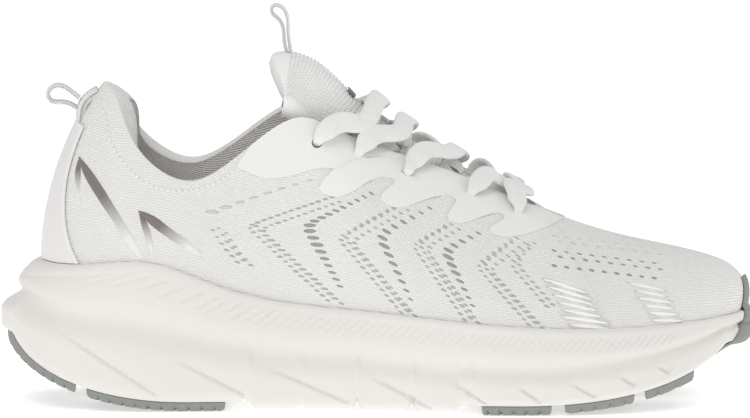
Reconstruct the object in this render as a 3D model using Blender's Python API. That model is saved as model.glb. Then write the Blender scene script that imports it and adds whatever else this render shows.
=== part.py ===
"""A right running shoe, taken apart: sole, upper, padding, tongue, lace and pull loops.

Run it with blender --background --python part.py, or from the Text Editor.
+X points to the toe, -Y to the outer (lateral) side, +Z up. The origin is on the floor
under the middle of the shoe. Design sizes are in millimetres, and meshes in metres.

The shoe has one master surface, the outside of its upper. A point on it is found from
t, which runs round the outline from the heel (0) to the toe (1) on either side, and v,
which runs up a rib from the sole (0) to the collar, throat or toe ridge (1).
"""

import math

import bmesh
import bpy
import numpy as np
from mathutils import Matrix, Vector

MM = 0.001

# ---------------------------------------------------------------- driving dimensions
HEEL_X, TOE_X = -150.0, 149.0
CENTRE = (0.66, -2.72, 0.0)  # the middle of the outline below, which becomes the origin
GAP = 0.3  # clearance between pieces that touch on the real shoe
LATERAL, MEDIAL = -1, 1
STATIONS = 34  # steps from heel to toe along each side
ROWS = 8  # steps up a rib

# Sole outline in plan (x, y), heel to toe on the outer side, then back on the inner side.
OUTLINE_LATERAL = [
    (HEEL_X, 0), (-140, -26), (-110, -41.5), (-70, -42), (-30, -41), (10, -47.5),
    (45, -54.5), (80, -53.5), (112, -43.5), (136, -24), (TOE_X, 5),
]
OUTLINE_MEDIAL = [
    (143.5, 28), (122, 43.5), (86, 49.5), (50, 48.5), (15, 42), (-25, 36.5),
    (-65, 38), (-106, 40), (-139, 25),
]

# Rocker: the sole is flat between these, and curls up to the heel and toe tips.
HEEL_BEVEL_X, HEEL_BEVEL_RISE, HEEL_CURL = -75.0, 34.0, 2.0
TOE_SPRING_X, TOE_SPRING_RISE, TOE_CURL = 57.5, 38.0, 2.2
HEEL_REACH, TOE_REACH = 0.985, 0.94  # the curl stops at this share of the way to the tip
RUBBER = 3.5  # outsole thickness
EXPOSED_FOAM_X = (-50.0, 33.0)  # here the foam itself meets the ground side
FOAM_LIFT = 1.2  # how far that bare foam stays off the ground

# Heights along the shoe: the footbed under the upper, and the rim of the sole's sidewall.
FOOTBED = [(-150, 37.5), (-90, 37.2), (-50, 35.2), (-10, 33), (30, 29), (70, 26.6),
           (105, 27), (130, 29), (149, 30.5)]
RIM = [(-150, 57), (-118, 58), (-98, 59.6), (-84, 57.8), (-61, 49.5), (-43, 44.4),
       (-7, 40.2), (30, 37), (60, 34.8), (95, 33.8), (125, 34.4), (149, 35.6)]

# Sidewall shape: share of the wall's height, and how far in it stands, as a share of
# the step from the outline to the rim. The middle pair is the channel along the side.
SIDEWALL = [(0.12, 0.0), (0.3, 0.0), (0.42, 0.16), (0.54, 0.42), (0.64, 0.42),
            (0.78, 0.5), (0.9, 0.7), (0.97, 0.87)]
CHANNEL_DEPTH = 1.3
TOE_WRAP_START = 0.974  # t where the toe wrap begins on each side
TOE_WRAP_TOP = 0.43  # v where it ends on the upper
TOE_WRAP_UNDER = (10.0, 5.0)  # it reaches this far in under the toe
RIM_THICKNESS = 1.6
FOAM_EDGE = 2.0  # the underside of the foam ends this far inside the outline
PAD_EDGE = 2.2
PAD_CHANNEL = 5.0  # half the bare channel between the outer and inner pads
HEEL_WRAP_X = (-147.4, -119.5)
HEEL_PADS = {"lateral": (-115.5, -60.0), "medial": (-115.5, -66.0)}
BALL_PADS = {
    "lateral": [(42, 70), (75, 103), (107, 127)],
    "medial": [(46, 73), (78, 104), (108.5, 128)],
}
WRAP_CLEARANCE, WRAP_THICKNESS = 0.8, 1.4  # of the rubber that climbs the toe

# Ribs of the upper, one row each: t, how far the foot of the rib is inside the sole
# outline, its lower handle (out, up), the rib's top (x, half width, z) and its upper
# handle (forward, out, up).
RIBS = [
    (0.00, 20.0, 9.0, 32, -109, 0.0, 127.6, -14, 0, -18),
    (0.09, 15.5, 8.0, 30, -104, 15.5, 123.5, -9, 6, -19),
    (0.18, 10.5, 7.0, 22, -97, 28.0, 107.5, 0, 6, -16),
    (0.29, 8.6, 5.0, 17, -78, 33.0, 92.0, 0, 3, -15),
    (0.41, 7.4, 4.0, 20, -54, 31.5, 102.5, 2, 4, -22),
    (0.48, 6.4, 3.5, 21, -34, 29.0, 116.0, 6, 6, -22),
    (0.53, 5.8, 3.0, 20, -22, 27.5, 114.5, 8, 7, -18),
    (0.58, 5.4, 3.0, 19, -6, 23.0, 106.5, 9, 10, -13),
    (0.635, 5.2, 3.0, 18, 17, 18.0, 98.0, 9, 14, -10),
    (0.70, 5.0, 2.0, 17, 42, 14.0, 88.0, 9, 18, -8),
    (0.765, 4.8, 1.5, 17, 64, 0.0, 77.6, 10, 26, -5),
    (0.84, 4.6, 2.0, 17, 86, 0.0, 69.0, 16, 26, -4.5),
    (0.92, 4.2, 4.0, 17.5, 102, 0.0, 64.2, 27, 20, -3.8),
    (1.00, 4.0, 6.5, 17.5, 112, 0.0, 61.6, 37, 0, -3.5),
]
THROAT_END = 0.765  # t where the lace opening closes
THROAT_ROUND = 0.70  # t where its rounded end starts
MEDIAL_COLLAR_RISE = 2.5  # the inner side of the collar stands this much higher
RIDGE_SWEEP = 3.0  # the toe ridge swings this far to the big toe

UPPER_THICKNESS = 1.4
FILM_THICKNESS = 0.6
CLIP_THICKNESS = 1.3
COUNTER_THICKNESS = 1.4
LINING_THICKNESS = 0.8
COLLAR_END = 0.44  # t where the padded collar stops
COLLAR_PADDING = [(0.0, 8.5), (0.1, 8.0), (0.2, 7.0), (0.3, 6.5), (0.38, 4.0), (0.44, 1.5)]
BOARD_THICKNESS = 1.5
INSOLE_THICKNESS = 4.5

# Heel clip: how far round the heel it goes (t) at each share of its height.
CLIP_REACH = [(0, 0.14), (0.3, 0.115), (0.55, 0.095), (0.8, 0.08), (1, 0.062)]
CLIP_TOP = 0.76  # v of its upper edge
# Quarter stripes: t and then v of each one's upper and lower end.
STRIPES = {"rear": (0.125, 0.205, 0.70, 0.40), "front": (0.235, 0.335, 0.53, 0.29)}

# Eyelets, counted from the ankle: t and v on the master surface.
EYELETS = [(0.507, 0.86), (0.563, 0.86), (0.613, 0.85), (0.672, 0.82), (0.724, 0.81)]
EYELET_RADIUS = 3.5

# Lower edge of the eyestay film, seen from the side (x, z).
EYESTAY_T = (0.445, 0.795)
EYESTAY_EDGE = [(-60, 97), (-45, 92), (-19, 86), (4, 81.5), (28, 75), (44, 70.5), (56, 69),
                (67, 70.5), (75, 72.5)]

# Tongue: the line of its outer face on the shoe's centre (x, z), base to top, with the
# half width and the depth of its arch at each place.
TONGUE = [
    (76, 65.2, 18, 9.5), (64, 71.8, 19, 13), (54, 78.3, 19.5, 17.5), (44, 85.5, 20, 21),
    (31, 94.2, 20, 23.5), (18, 102.2, 20.5, 25.5), (6, 109.8, 21.5, 26), (-5, 118.4, 23, 26),
    (-14, 127.8, 25, 26), (-22, 135.0, 26, 26), (-31, 139.4, 26, 26), (-40, 140.0, 26, 26),
    (-45.5, 137.6, 26, 26),
]
TONGUE_WRAP = math.radians(74)  # the arch runs this far down either side
TONGUE_SKIN = 0.9
TONGUE_PADDING = 5.4
LABEL_S = (0.7, 0.727)  # the tongue label, along the tongue
LABEL_ANGLE = 0.2  # and round it, to either side
LABEL_THICKNESS = 0.6

LACE_WIDTH, LACE_THICKNESS = 8.0, 1.5
LACE_EYELET_WIDTH, LACE_UNDER_WIDTH = 3.4, 5.2
LACE_CLEARANCE = 0.55  # from its underside to the tongue
TAIL_POINTS = 18  # path points of each loose end, which lies inside the quarter
WEBBING_THICKNESS = 1.1
LACE_TAIL = [(0.505, 0.60), (0.515, 0.48), (0.535, 0.38), (0.565, 0.33), (0.595, 0.32)]  # t, v
LACE_TAIL_WIDTH = 4.6
# Middle lines of the webbing, x and z, from one root round the fold to the other.
HEEL_LOOP = [(-122.6, 121.4), (-126.5, 119.0), (-129.8, 118.9), (-131.6, 122.0),
             (-129.6, 125.4), (-126.5, 126.4), (-123.6, 124.6), (-122.2, 123.1)]
HEEL_LOOP_WIDTH = 7.5
HEEL_TAB = [(-119.6, 112.6), (-120.5, 115), (-120.8, 118), (-120.2, 120.4), (-118, 121.7),
            (-115.0, 122.0)]
HEEL_TAB_WIDTH = 8.5
TONGUE_LOOP = [(-36.6, 141.2), (-38.4, 146.5), (-41.0, 151.0), (-42.6, 155.2), (-40.6, 158.4),
               (-36.8, 157.0), (-34.8, 151.5), (-34.0, 146.5), (-34.6, 141.2)]
TONGUE_LOOP_WIDTH = 5.5
# Where the moving bodies hinge or come loose.
HEEL_LOOP_PIVOT = (-121.6, 0, 122.2)
TONGUE_LOOP_PIVOT = (-35.5, 0, 140.6)
TONGUE_PIVOT = (76.0, 0, 64.0)
INSOLE_PIVOT = (141.0, 4.0, 32.0)

# ---------------------------------------------------------------- colours of the parts
WHITE_KNIT = ("white_knit", (0.86, 0.85, 0.83), 0.9)
WHITE_FILM = ("white_film", (0.88, 0.88, 0.86), 0.45)
WHITE_FOAM = ("white_foam", (0.84, 0.82, 0.79), 0.6)
GREY_RUBBER = ("grey_rubber", (0.33, 0.34, 0.32), 0.7)
GREY_LINING = ("grey_lining", (0.62, 0.6, 0.57), 0.95)
PADDING_FOAM = ("padding_foam", (0.75, 0.72, 0.6), 1.0)
WHITE_WEBBING = ("white_webbing", (0.85, 0.84, 0.81), 0.85)
GRADIENT_FILM = ("gradient_film", (0.38, 0.36, 0.34), 0.4)
BOARD = ("lasting_board", (0.8, 0.79, 0.75), 0.95)
HARD_PLASTIC = ("hard_plastic", (0.7, 0.7, 0.7), 0.4)
LACE_WHITE = ("lace_white", (0.9, 0.89, 0.87), 0.8)


def clear_scene():
    for old in list(bpy.data.objects):
        bpy.data.objects.remove(old)


def material(look):
    name, colour, roughness = look
    found = bpy.data.materials.get(name)
    if found:
        return found
    made = bpy.data.materials.new(name)
    made.use_nodes = True
    shader = made.node_tree.nodes["Principled BSDF"]
    shader.inputs["Base Color"].default_value = (*colour, 1)
    shader.inputs["Roughness"].default_value = roughness
    shader.inputs["Metallic"].default_value = 0
    return made


# ---------------------------------------------------------------- curves and surfaces
def spline(knots, values, level_start=False, level_end=False):
    """A smooth curve through the values. A level end has no slope there."""
    x, y = np.array(knots, float), np.array(values, float)
    n, h = len(x), np.diff(x)
    rows, right = np.zeros((n, n)), np.zeros(n)
    for i in range(1, n - 1):
        rows[i, i - 1:i + 2] = h[i - 1], 2 * (h[i - 1] + h[i]), h[i]
        right[i] = 6 * ((y[i + 1] - y[i]) / h[i] - (y[i] - y[i - 1]) / h[i - 1])
    rows[0, 0] = rows[-1, -1] = 1
    if level_start:
        rows[0, :2] = 2 * h[0], h[0]
        right[0] = 6 * (y[1] - y[0]) / h[0]
    if level_end:
        rows[-1, -2:] = h[-1], 2 * h[-1]
        right[-1] = -6 * (y[-1] - y[-2]) / h[-1]
    bend = np.linalg.solve(rows, right)

    def at(t):
        t = np.clip(np.asarray(t, float), x[0], x[-1])
        i = np.clip(np.searchsorted(x, t, side="right") - 1, 0, n - 2)
        past, left, step = t - x[i], x[i + 1] - t, h[i]
        curved = (bend[i] * left**3 + bend[i + 1] * past**3) / (6 * step)
        low = (y[i] / step - bend[i] * step / 6) * left
        return curved + low + (y[i + 1] / step - bend[i + 1] * step / 6) * past

    return at


def column(table, index):
    return [row[index] for row in table]


def outline_paths():
    """Dense points of the sole outline, heel to toe, for each side."""
    loop = OUTLINE_LATERAL + OUTLINE_MEDIAL
    points = np.array(loop * 3 + loop[:1], float)
    along = np.concatenate([[0], np.cumsum(np.linalg.norm(np.diff(points, axis=0), axis=1))])
    curve_x, curve_y = spline(along, points[:, 0]), spline(along, points[:, 1])
    heel, toe = along[len(loop)], along[len(loop) + len(OUTLINE_LATERAL) - 1]
    heel_again = along[2 * len(loop)]
    paths = {}
    for side, (start, end) in {LATERAL: (heel, toe), MEDIAL: (heel_again, toe)}.items():
        at = np.linspace(start, end, 1500)
        path = np.stack([curve_x(at), curve_y(at)], axis=1)
        steps = np.linalg.norm(np.diff(path, axis=0), axis=1)
        share = np.concatenate([[0], np.cumsum(steps)])
        tangent = np.stack([c(at + 0.1) - c(at - 0.1) for c in (curve_x, curve_y)], axis=1)
        tangent /= np.linalg.norm(tangent, axis=1, keepdims=True)
        outward = np.stack([tangent[:, 1], -tangent[:, 0]], axis=1)
        paths[side] = (share / share[-1], path, outward)
    return paths


PATHS = outline_paths()
footbed = spline(*zip(*FOOTBED))
rim_height = spline(*zip(*RIM))
collar_padding = spline(*zip(*COLLAR_PADDING), level_start=True)
clip_reach = spline(*zip(*CLIP_REACH))
RIB_CURVES = [
    spline(column(RIBS, 0), column(RIBS, i), level_start=i not in (5, 8), level_end=True)
    for i in range(1, len(RIBS[0]))
]
RIB_HALF = spline(column(RIBS, 0)[:10], column(RIBS, 5)[:10])


def outline(side, t, inset=0.0):
    """Plan points (x, y) on the sole outline, or that far inside it."""
    share, path, outward = PATHS[side]
    point = np.stack([np.interp(t, share, path[:, k]) for k in (0, 1)], axis=-1)
    out = np.stack([np.interp(t, share, outward[:, k]) for k in (0, 1)], axis=-1)
    return point - out * np.asarray(inset)[..., None], out


def ground(x, depth=0.0):
    """Height of the sole's underside at x. depth goes into the sole from there."""
    x = np.asarray(x, float)
    heel = np.clip((HEEL_BEVEL_X - x) / (HEEL_BEVEL_X - HEEL_X - depth), 0, HEEL_REACH)
    toe = np.clip((x - TOE_SPRING_X) / (TOE_X - TOE_SPRING_X - depth), 0, TOE_REACH)
    back = (HEEL_BEVEL_RISE - depth) * (1 - (1 - heel**HEEL_CURL) ** (1 / HEEL_CURL))
    front = (TOE_SPRING_RISE - depth) * (1 - (1 - toe**TOE_CURL) ** (1 / TOE_CURL))
    return depth + back + front


def rib_points(side, t):
    """The four control points of the rib at t."""
    inset, low_out, low_up, top_x, _, top_z, fore, out, up = (c(t) for c in RIB_CURVES)
    foot, outward = outline(side, t, inset)
    bend = np.clip((t - THROAT_ROUND) / (THROAT_END - THROAT_ROUND), 0, 1)
    half = np.where(t < THROAT_ROUND, RIB_HALF(t), RIB_HALF(THROAT_ROUND) * np.sqrt(1 - bend**2))
    toward_toe = np.clip((t - 0.6) / 0.4, 0, 1)
    middle = RIDGE_SWEEP * toward_toe**2 * (3 - 2 * toward_toe)
    rise = MEDIAL_COLLAR_RISE * (side == MEDIAL) * np.sin(np.pi * np.clip(t / 0.5, 0, 1)) ** 2
    base = np.stack([foot[..., 0], foot[..., 1], footbed(foot[..., 0])], axis=-1)
    lean = np.stack([outward[..., 0] * low_out, outward[..., 1] * low_out, low_up], axis=-1)
    top = np.stack([top_x, middle + side * half, top_z + rise], axis=-1)
    reach = np.stack([fore, side * out, up], axis=-1)
    return base, base + lean, top + reach, top


def rib(side, t, v):
    """Points of the master surface, the outside of the upper."""
    t, v = np.broadcast_arrays(np.asarray(t, float), np.asarray(v, float))
    beyond = (t < 0) | (t > 1)
    if np.any(beyond):  # past the heel or toe is the other side
        inside = np.where(t < 0, -t, np.where(t > 1, 2 - t, t))
        return np.where(beyond[..., None], rib(-side, inside, v), rib(side, inside, v))
    p0, p1, p2, p3 = rib_points(side, t)
    v = v[..., None]
    return p0 * (1 - v) ** 3 + 3 * p1 * v * (1 - v) ** 2 + 3 * p2 * v**2 * (1 - v) + p3 * v**3


def outward_normal(side, t, v):
    step = 0.002
    v = np.clip(np.asarray(v, float), step, 1 - step)
    along = rib(side, t + step, v) - rib(side, t - step, v)
    up = rib(side, t, v + step) - rib(side, t, v - step)
    normal = np.cross(along, up) * -side
    return normal / np.linalg.norm(normal, axis=-1, keepdims=True)


def skin(side, t, v, offset=0.0):
    """The master surface moved out by offset, or in where it is negative."""
    return rib(side, t, v) + outward_normal(side, t, v) * np.asarray(offset)[..., None]


def rib_share_at(side, t, height):
    """v where the rib at t reaches that height."""
    v = np.linspace(0, 1, 201)
    return float(np.interp(height, rib(side, t, v)[:, 2], v))


# ---------------------------------------------------------------- meshes and objects
def add_object(name, points, faces, look, smooth=True):
    """One object from points in millimetres. Points in the same place are made one."""
    mesh = bpy.data.meshes.new(name)
    mesh.from_pydata(((np.asarray(points, float) - CENTRE) * MM).tolist(), [], faces)
    shape = bmesh.new()
    shape.from_mesh(mesh)
    bmesh.ops.remove_doubles(shape, verts=shape.verts, dist=0.00002)
    bmesh.ops.dissolve_degenerate(shape, edges=shape.edges, dist=0.00001)
    shape.to_mesh(mesh)
    shape.free()
    mesh.materials.append(material(look))
    if smooth:
        mesh.shade_smooth()
        mesh.set_sharp_from_angle(angle=math.radians(40))
    made = bpy.data.objects.new(name, mesh)
    bpy.context.scene.collection.objects.link(made)
    return made


def put_origin(item, pivot):
    """Moves an object's origin to its joint's axis, leaving the shape where it is."""
    place = (Vector(pivot) - Vector(CENTRE)) * MM
    item.data.transform(Matrix.Translation(-place))
    item.location = place


def grid_faces(rows, columns, start=0, flip=False):
    """Quads between neighbouring rows of points."""
    faces = []
    for i in range(rows - 1):
        for j in range(columns - 1):
            a = start + i * columns + j
            quad = (a, a + columns, a + columns + 1, a + 1)
            faces.append(quad[::-1] if flip else quad)
    return faces


STEPS = np.linspace(0, 1, STATIONS + 1)
T_LINES = 0.4 * STEPS + 0.3 * (1 - np.cos(np.pi * STEPS))  # closer at the heel and toe
THROAT_LINES = (THROAT_ROUND, 0.735, 0.755, THROAT_END)  # these shape the throat's round end
T_LINES = np.array(sorted(
    [t for t in T_LINES if min(abs(t - own) for own in THROAT_LINES) > 0.012] + list(THROAT_LINES)
))
V_LINES = np.linspace(0, 1, ROWS + 1)


def lines_between(low, high, common):
    """The common grid lines inside a stretch, with the stretch's own two ends."""
    spare = 0.25 / len(common)
    inner = common[(common > low + spare) & (common < high - spare)]
    return np.concatenate([[low], inner, [high]])


def block(name, top, bottom, look):
    """A closed solid between two grids of points, top facing up or out."""
    rows, columns = top.shape[:2]
    count = rows * columns
    points = np.concatenate([top.reshape(-1, 3), bottom.reshape(-1, 3)])
    faces = grid_faces(rows, columns) + grid_faces(rows, columns, count, flip=True)
    edge = [(i, 0) for i in range(rows)] + [(rows - 1, j) for j in range(1, columns)]
    edge += [(i, columns - 1) for i in range(rows - 2, -1, -1)]
    edge += [(0, j) for j in range(columns - 2, 0, -1)]
    ring = [i * columns + j for i, j in edge]
    for a, b in zip(ring, ring[1:] + ring[:1]):
        faces.append((a, a + count, b + count, b))
    made = add_object(name, points, faces, look)
    face_outward(made)
    return made


def face_outward(item):
    shape = bmesh.new()
    shape.from_mesh(item.data)
    bmesh.ops.recalc_face_normals(shape, faces=shape.faces)
    if shape.calc_volume(signed=True) < 0:
        bmesh.ops.reverse_faces(shape, faces=shape.faces)
    shape.to_mesh(item.data)
    shape.free()


def both_sides(t_lines, v_lines, offset):
    """A patch round the heel or toe: the two sides as one grid, joined on the middle.

    Each row runs up a rib. offset may be a number or a function of t and v.
    """
    def patch(side):
        t, v = np.meshgrid(t_lines, v_lines, indexing="ij")
        depth = offset(t, v) if callable(offset) else np.full(t.shape, float(offset))
        return skin(side, t, v, depth)

    lateral, medial = patch(LATERAL), patch(MEDIAL)
    if t_lines[0] == 0:
        return np.concatenate([medial[::-1], lateral[1:]])
    if t_lines[-1] == 1:
        return np.concatenate([lateral, medial[::-1][1:]])
    raise ValueError("a patch on both sides starts at the heel or ends at the toe")


def wrapped_shell(name, t_range, v_range, outer, inner, look):
    """A shell that goes round the heel or the toe between two offsets."""
    t_lines = lines_between(*t_range, T_LINES)
    v_lines = lines_between(*v_range, V_LINES)
    return block(name, both_sides(t_lines, v_lines, outer),
                 both_sides(t_lines, v_lines, inner), look)


# ---------------------------------------------------------------- sole
def wall_profile(side, t):
    """Points up the outside of the sole's sidewall at t, and down its inside."""
    rim_out, outward = outline(side, t, RIB_CURVES[0](t))
    edge = float(outline(side, t)[0][0])
    rim_z = float(rim_height(edge))
    at_rim = skin(side, t, rib_share_at(side, t, rim_z), np.array(GAP + 0.05))
    foot_plan, _ = outline(side, t, FOAM_EDGE)
    low = float(under_foam(foot_plan[0]))
    out_plan, outward = outline(side, t)
    step = float(np.dot(out_plan - at_rim[:2], outward)) - RIM_THICKNESS
    points = [np.array([*foot_plan, low])]
    for share, inward in SIDEWALL:
        channel = CHANNEL_DEPTH * math.exp(-((share - 0.56) / 0.09) ** 2)
        plan = out_plan - outward * (step * inward + channel)
        points.append(np.array([*plan, low + share * (rim_z - low)]))
    points.append(np.array([*(out_plan - outward * step), rim_z - 0.4]))
    inside = np.linspace(rib_share_at(side, t, rim_z), 0, 4)
    for v in inside:
        points.append(skin(side, t, v, np.array(GAP + 0.05)))
    points[-1][2] = footbed(points[-1][0]) - GAP
    return np.array(points)


def under_foam(x):
    """Height of the foam's underside: above the rubber, or bare over the arch."""
    bare = EXPOSED_FOAM_X[0] < x < EXPOSED_FOAM_X[1]
    return float(ground(x, FOAM_LIFT if bare else RUBBER + GAP))


def build_midsole():
    """The foam, with a recess for the upper. Rings of points run from heel to toe."""
    rings = []
    for t in T_LINES:
        up, down = wall_profile(LATERAL, t), wall_profile(MEDIAL, t)
        rings.append(np.concatenate([up, down[::-1]]))
    rings = np.array(rings)
    count = rings.shape[1]
    faces = []
    for i in range(len(T_LINES) - 1):
        for j in range(count):
            k = (j + 1) % count
            faces.append((i * count + j, i * count + k, (i + 1) * count + k, (i + 1) * count + j))
    made = add_object("midsole", rings.reshape(-1, 3), faces, WHITE_FOAM)
    face_outward(made)


def sole_edge(side, x, inset):
    """y of the sole outline at x, that far inside it."""
    t = np.linspace(0, 1, 800)
    plan, _ = outline(side, t, np.full(t.shape, inset))
    return float(np.interp(x, plan[:, 0], plan[:, 1]))


def build_pad(name, x_range, y_limits, look=GREY_RUBBER):
    """One rubber pad under the foam, with its lower edges cut back at a slant.

    y_limits gives the pad's two side edges as functions of x.
    """
    bevel = 1.2
    steps = max(3, round((x_range[1] - x_range[0]) / 3.5))
    top, bottom = [], []
    for i in range(steps + 1):
        share = i / steps
        x = x_range[0] + share * (x_range[1] - x_range[0])
        low_x = x + bevel * (1 - 2 * share)
        for rows, at, depth, cut in ((top, x, RUBBER, 0), (bottom, low_x, 0.0, bevel)):
            start, end = y_limits[0](at) + cut, y_limits[1](at) - cut
            across = np.linspace(start, end, 5)
            rows.append([(at, y, ground(at, depth)) for y in across])
    return block(name, np.array(top), np.array(bottom), look)


def build_outsole():
    """Rubber pads: two at the heel, six under the ball, and the wraps at each end."""
    sides = {
        "lateral": (lambda x: sole_edge(LATERAL, x, PAD_EDGE), lambda x: -PAD_CHANNEL),
        "medial": (lambda x: PAD_CHANNEL, lambda x: sole_edge(MEDIAL, x, PAD_EDGE)),
    }
    for side, limits in sides.items():
        build_pad(f"outsole_heel_{side}", HEEL_PADS[side], limits)
        for number, stretch in enumerate(BALL_PADS[side], 1):
            build_pad(f"outsole_ball_{side}_{number}", stretch, limits)
    whole = (lambda x: sole_edge(LATERAL, x, PAD_EDGE), lambda x: sole_edge(MEDIAL, x, PAD_EDGE))
    build_pad("outsole_heel_wrap", HEEL_WRAP_X, whole)
    build_toe_wrap()


def build_toe_wrap():
    """The rubber that starts under the toe and climbs the front of the upper."""
    half = np.linspace(TOE_WRAP_START, 1.0, 7)
    stretches = [(LATERAL, t) for t in half] + [(MEDIAL, t) for t in half[-2::-1]]
    inner, outer = [], []
    for side, t in stretches:
        wall = wall_profile(side, t)[:len(SIDEWALL) + 2]
        _, out = outline(side, t)
        outward = np.array([*out, 0])
        under = [wall[0] - outward * inset for inset in TOE_WRAP_UNDER]
        for point in under:
            point[2] = under_foam(point[0])
        rim = rib_share_at(side, t, wall[-1][2] + 1.5)
        climb = [skin(side, t, v, np.array(GAP)) for v in np.linspace(rim, TOE_WRAP_TOP, 4)]
        line = np.array([*under, *wall, *climb])
        run = np.gradient(line, axis=0)
        along = np.array([-out[1], out[0], 0])
        normal = np.cross(along, run)
        normal *= np.sign(np.sum(normal @ outward))
        normal[:2] = (0, 0, -1)
        normal /= np.linalg.norm(normal, axis=1, keepdims=True)
        inner.append(line + normal * WRAP_CLEARANCE)
        outer.append(line + normal * (WRAP_CLEARANCE + WRAP_THICKNESS))
    block("outsole_toe_wrap", np.array(outer), np.array(inner), GREY_RUBBER)


# ---------------------------------------------------------------- upper
def eyelet_frame(side, number, offset=0.0):
    """Where an eyelet is, the way out of it, and the way from it to the throat edge."""
    t, v = EYELETS[number]
    place = skin(side, t, v, np.array(offset))
    out = outward_normal(side, t, v)
    inward = rib(side, t, 1.0) - rib(side, t, v)
    inward -= out * np.dot(inward, out)
    return place, out, inward / np.linalg.norm(inward)


def build_eyelet_punch():
    """A hidden tool of ten pegs that cuts the lace holes."""
    shape = bmesh.new()
    for side in (LATERAL, MEDIAL):
        for number in range(len(EYELETS)):
            place, out, _ = eyelet_frame(side, number)
            turn = Vector((0, 0, 1)).rotation_difference(Vector(out)).to_matrix().to_4x4()
            where = Matrix.Translation((Vector(place) - Vector(CENTRE)) * MM) @ turn
            bmesh.ops.create_cone(
                shape, cap_ends=True, segments=12, depth=9 * MM,
                radius1=EYELET_RADIUS * MM, radius2=EYELET_RADIUS * MM, matrix=where,
            )
    mesh = bpy.data.meshes.new("eyelet_punch")
    shape.to_mesh(mesh)
    shape.free()
    punch = bpy.data.objects.new("eyelet_punch", mesh)
    bpy.context.scene.collection.objects.link(punch)
    punch.hide_render = True
    punch.display_type = "WIRE"
    return punch


def punch_eyelets(item, punch):
    cut = item.modifiers.new("eyelets", "BOOLEAN")
    cut.operation = "DIFFERENCE"
    cut.solver = "EXACT"
    cut.object = punch


def film_edge(t):
    """v of the eyestay film's lower edge on the rib at t."""
    v = np.linspace(0.3, 0.94, 129)
    points = rib(LATERAL, t, v)
    over = points[:, 2] - np.interp(points[:, 0], *zip(*EYESTAY_EDGE))
    return float(v[np.argmax(over > 0)]) if over[-1] > 0 else 0.94


def loop_shell(name, t_lines, v_lines, offset, thickness, look, low_edge=None):
    """A film or cloth over both sides of the shoe, thickened by a Solidify modifier.

    low_edge may give, for each t, the v where the cloth starts; v_lines are then shares
    of what is above it.
    """
    points, faces = [], []
    for side in (LATERAL, MEDIAL):
        t, v = np.meshgrid(t_lines, v_lines, indexing="ij")
        if low_edge:
            low = np.array([low_edge(share) for share in t_lines])[:, None]
            v = low + (1 - low) * v
        patch = skin(side, t, v, np.full(t.shape, float(offset)))
        for i, share in enumerate(t_lines):
            if share >= THROAT_END and v_lines[-1] == 1:
                patch[i, -1, 1] = rib(LATERAL, share, 1.0)[1]
        faces += grid_faces(*patch.shape[:2], start=len(points), flip=side == MEDIAL)
        points += patch.reshape(-1, 3).tolist()
    made = add_object(name, points, faces, look)
    solid = made.modifiers.new("thickness", "SOLIDIFY")
    solid.thickness = abs(thickness) * MM
    solid.offset = 1 if thickness > 0 else -1
    return made


def build_upper(punch):
    """The knitted upper, one cloth from the sole to the collar and throat."""
    upper = loop_shell("upper_mesh", T_LINES, V_LINES, 0, -UPPER_THICKNESS, WHITE_KNIT)
    punch_eyelets(upper, punch)
    film = loop_shell("eyestay_film", lines_between(*EYESTAY_T, T_LINES), np.linspace(0, 1, 6),
                      2 * GAP, FILM_THICKNESS, WHITE_FILM, film_edge)
    punch_eyelets(film, punch)


def padding_depth(t, v):
    """Thickness of the collar foam: full at the top, feathered out below."""
    share = np.clip((v - 0.45) / 0.35, 0, 1)
    return collar_padding(t) * share**2 * (3 - 2 * share)


def build_collar():
    """Heel stiffener, collar foam and lining, from the outside to the inside."""
    outside = -(UPPER_THICKNESS + GAP)
    counter_in = outside - COUNTER_THICKNESS
    wrapped_shell("heel_counter", (0, 0.25), (0.03, 0.42), outside, counter_in, HARD_PLASTIC)

    def foam_in(t, v):
        return outside - 0.6 - padding_depth(t, v)

    wrapped_shell("collar_padding", (0, COLLAR_END), (0.47, 1.0), outside, foam_in, PADDING_FOAM)

    def lining_out(t, v):
        behind = np.maximum(padding_depth(t, v) + 0.6, COUNTER_THICKNESS)
        return outside - 2 * GAP - behind

    def lining_in(t, v):
        return lining_out(t, v) - LINING_THICKNESS

    wrapped_shell("collar_lining", (0, COLLAR_END), (0.06, 1.0), lining_out, lining_in,
                  GREY_LINING)


def build_toe_puff():
    """A stiff film inside the toe that keeps its shape."""
    outside = -(UPPER_THICKNESS + 2 * GAP)
    wrapped_shell("toe_puff", (0.87, 1), (0.08, 0.62), outside, outside - 0.8, HARD_PLASTIC)


def build_heel_clip():
    """The smooth stabiliser bonded to the back of the heel, down to the sole's rim."""
    shares = np.linspace(0, 1, 7)
    heights = np.linspace(0, 1, 9)

    def grid(side, offset):
        rows = []
        for share in shares:
            t = share * clip_reach(heights)
            edge = outline(side, t)[0][:, 0]
            low = np.array([rib_share_at(side, float(at), float(rim_height(x)) + 1.4)
                            for at, x in zip(t, edge)])
            rows.append(skin(side, t, low + (CLIP_TOP - low) * heights, np.full(9, offset)))
        return np.array(rows)

    def shell(offset):
        return np.concatenate([grid(MEDIAL, offset)[::-1], grid(LATERAL, offset)[1:]])

    block("heel_clip", shell(GAP + 0.1 + CLIP_THICKNESS), shell(GAP + 0.1), WHITE_FILM)


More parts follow.
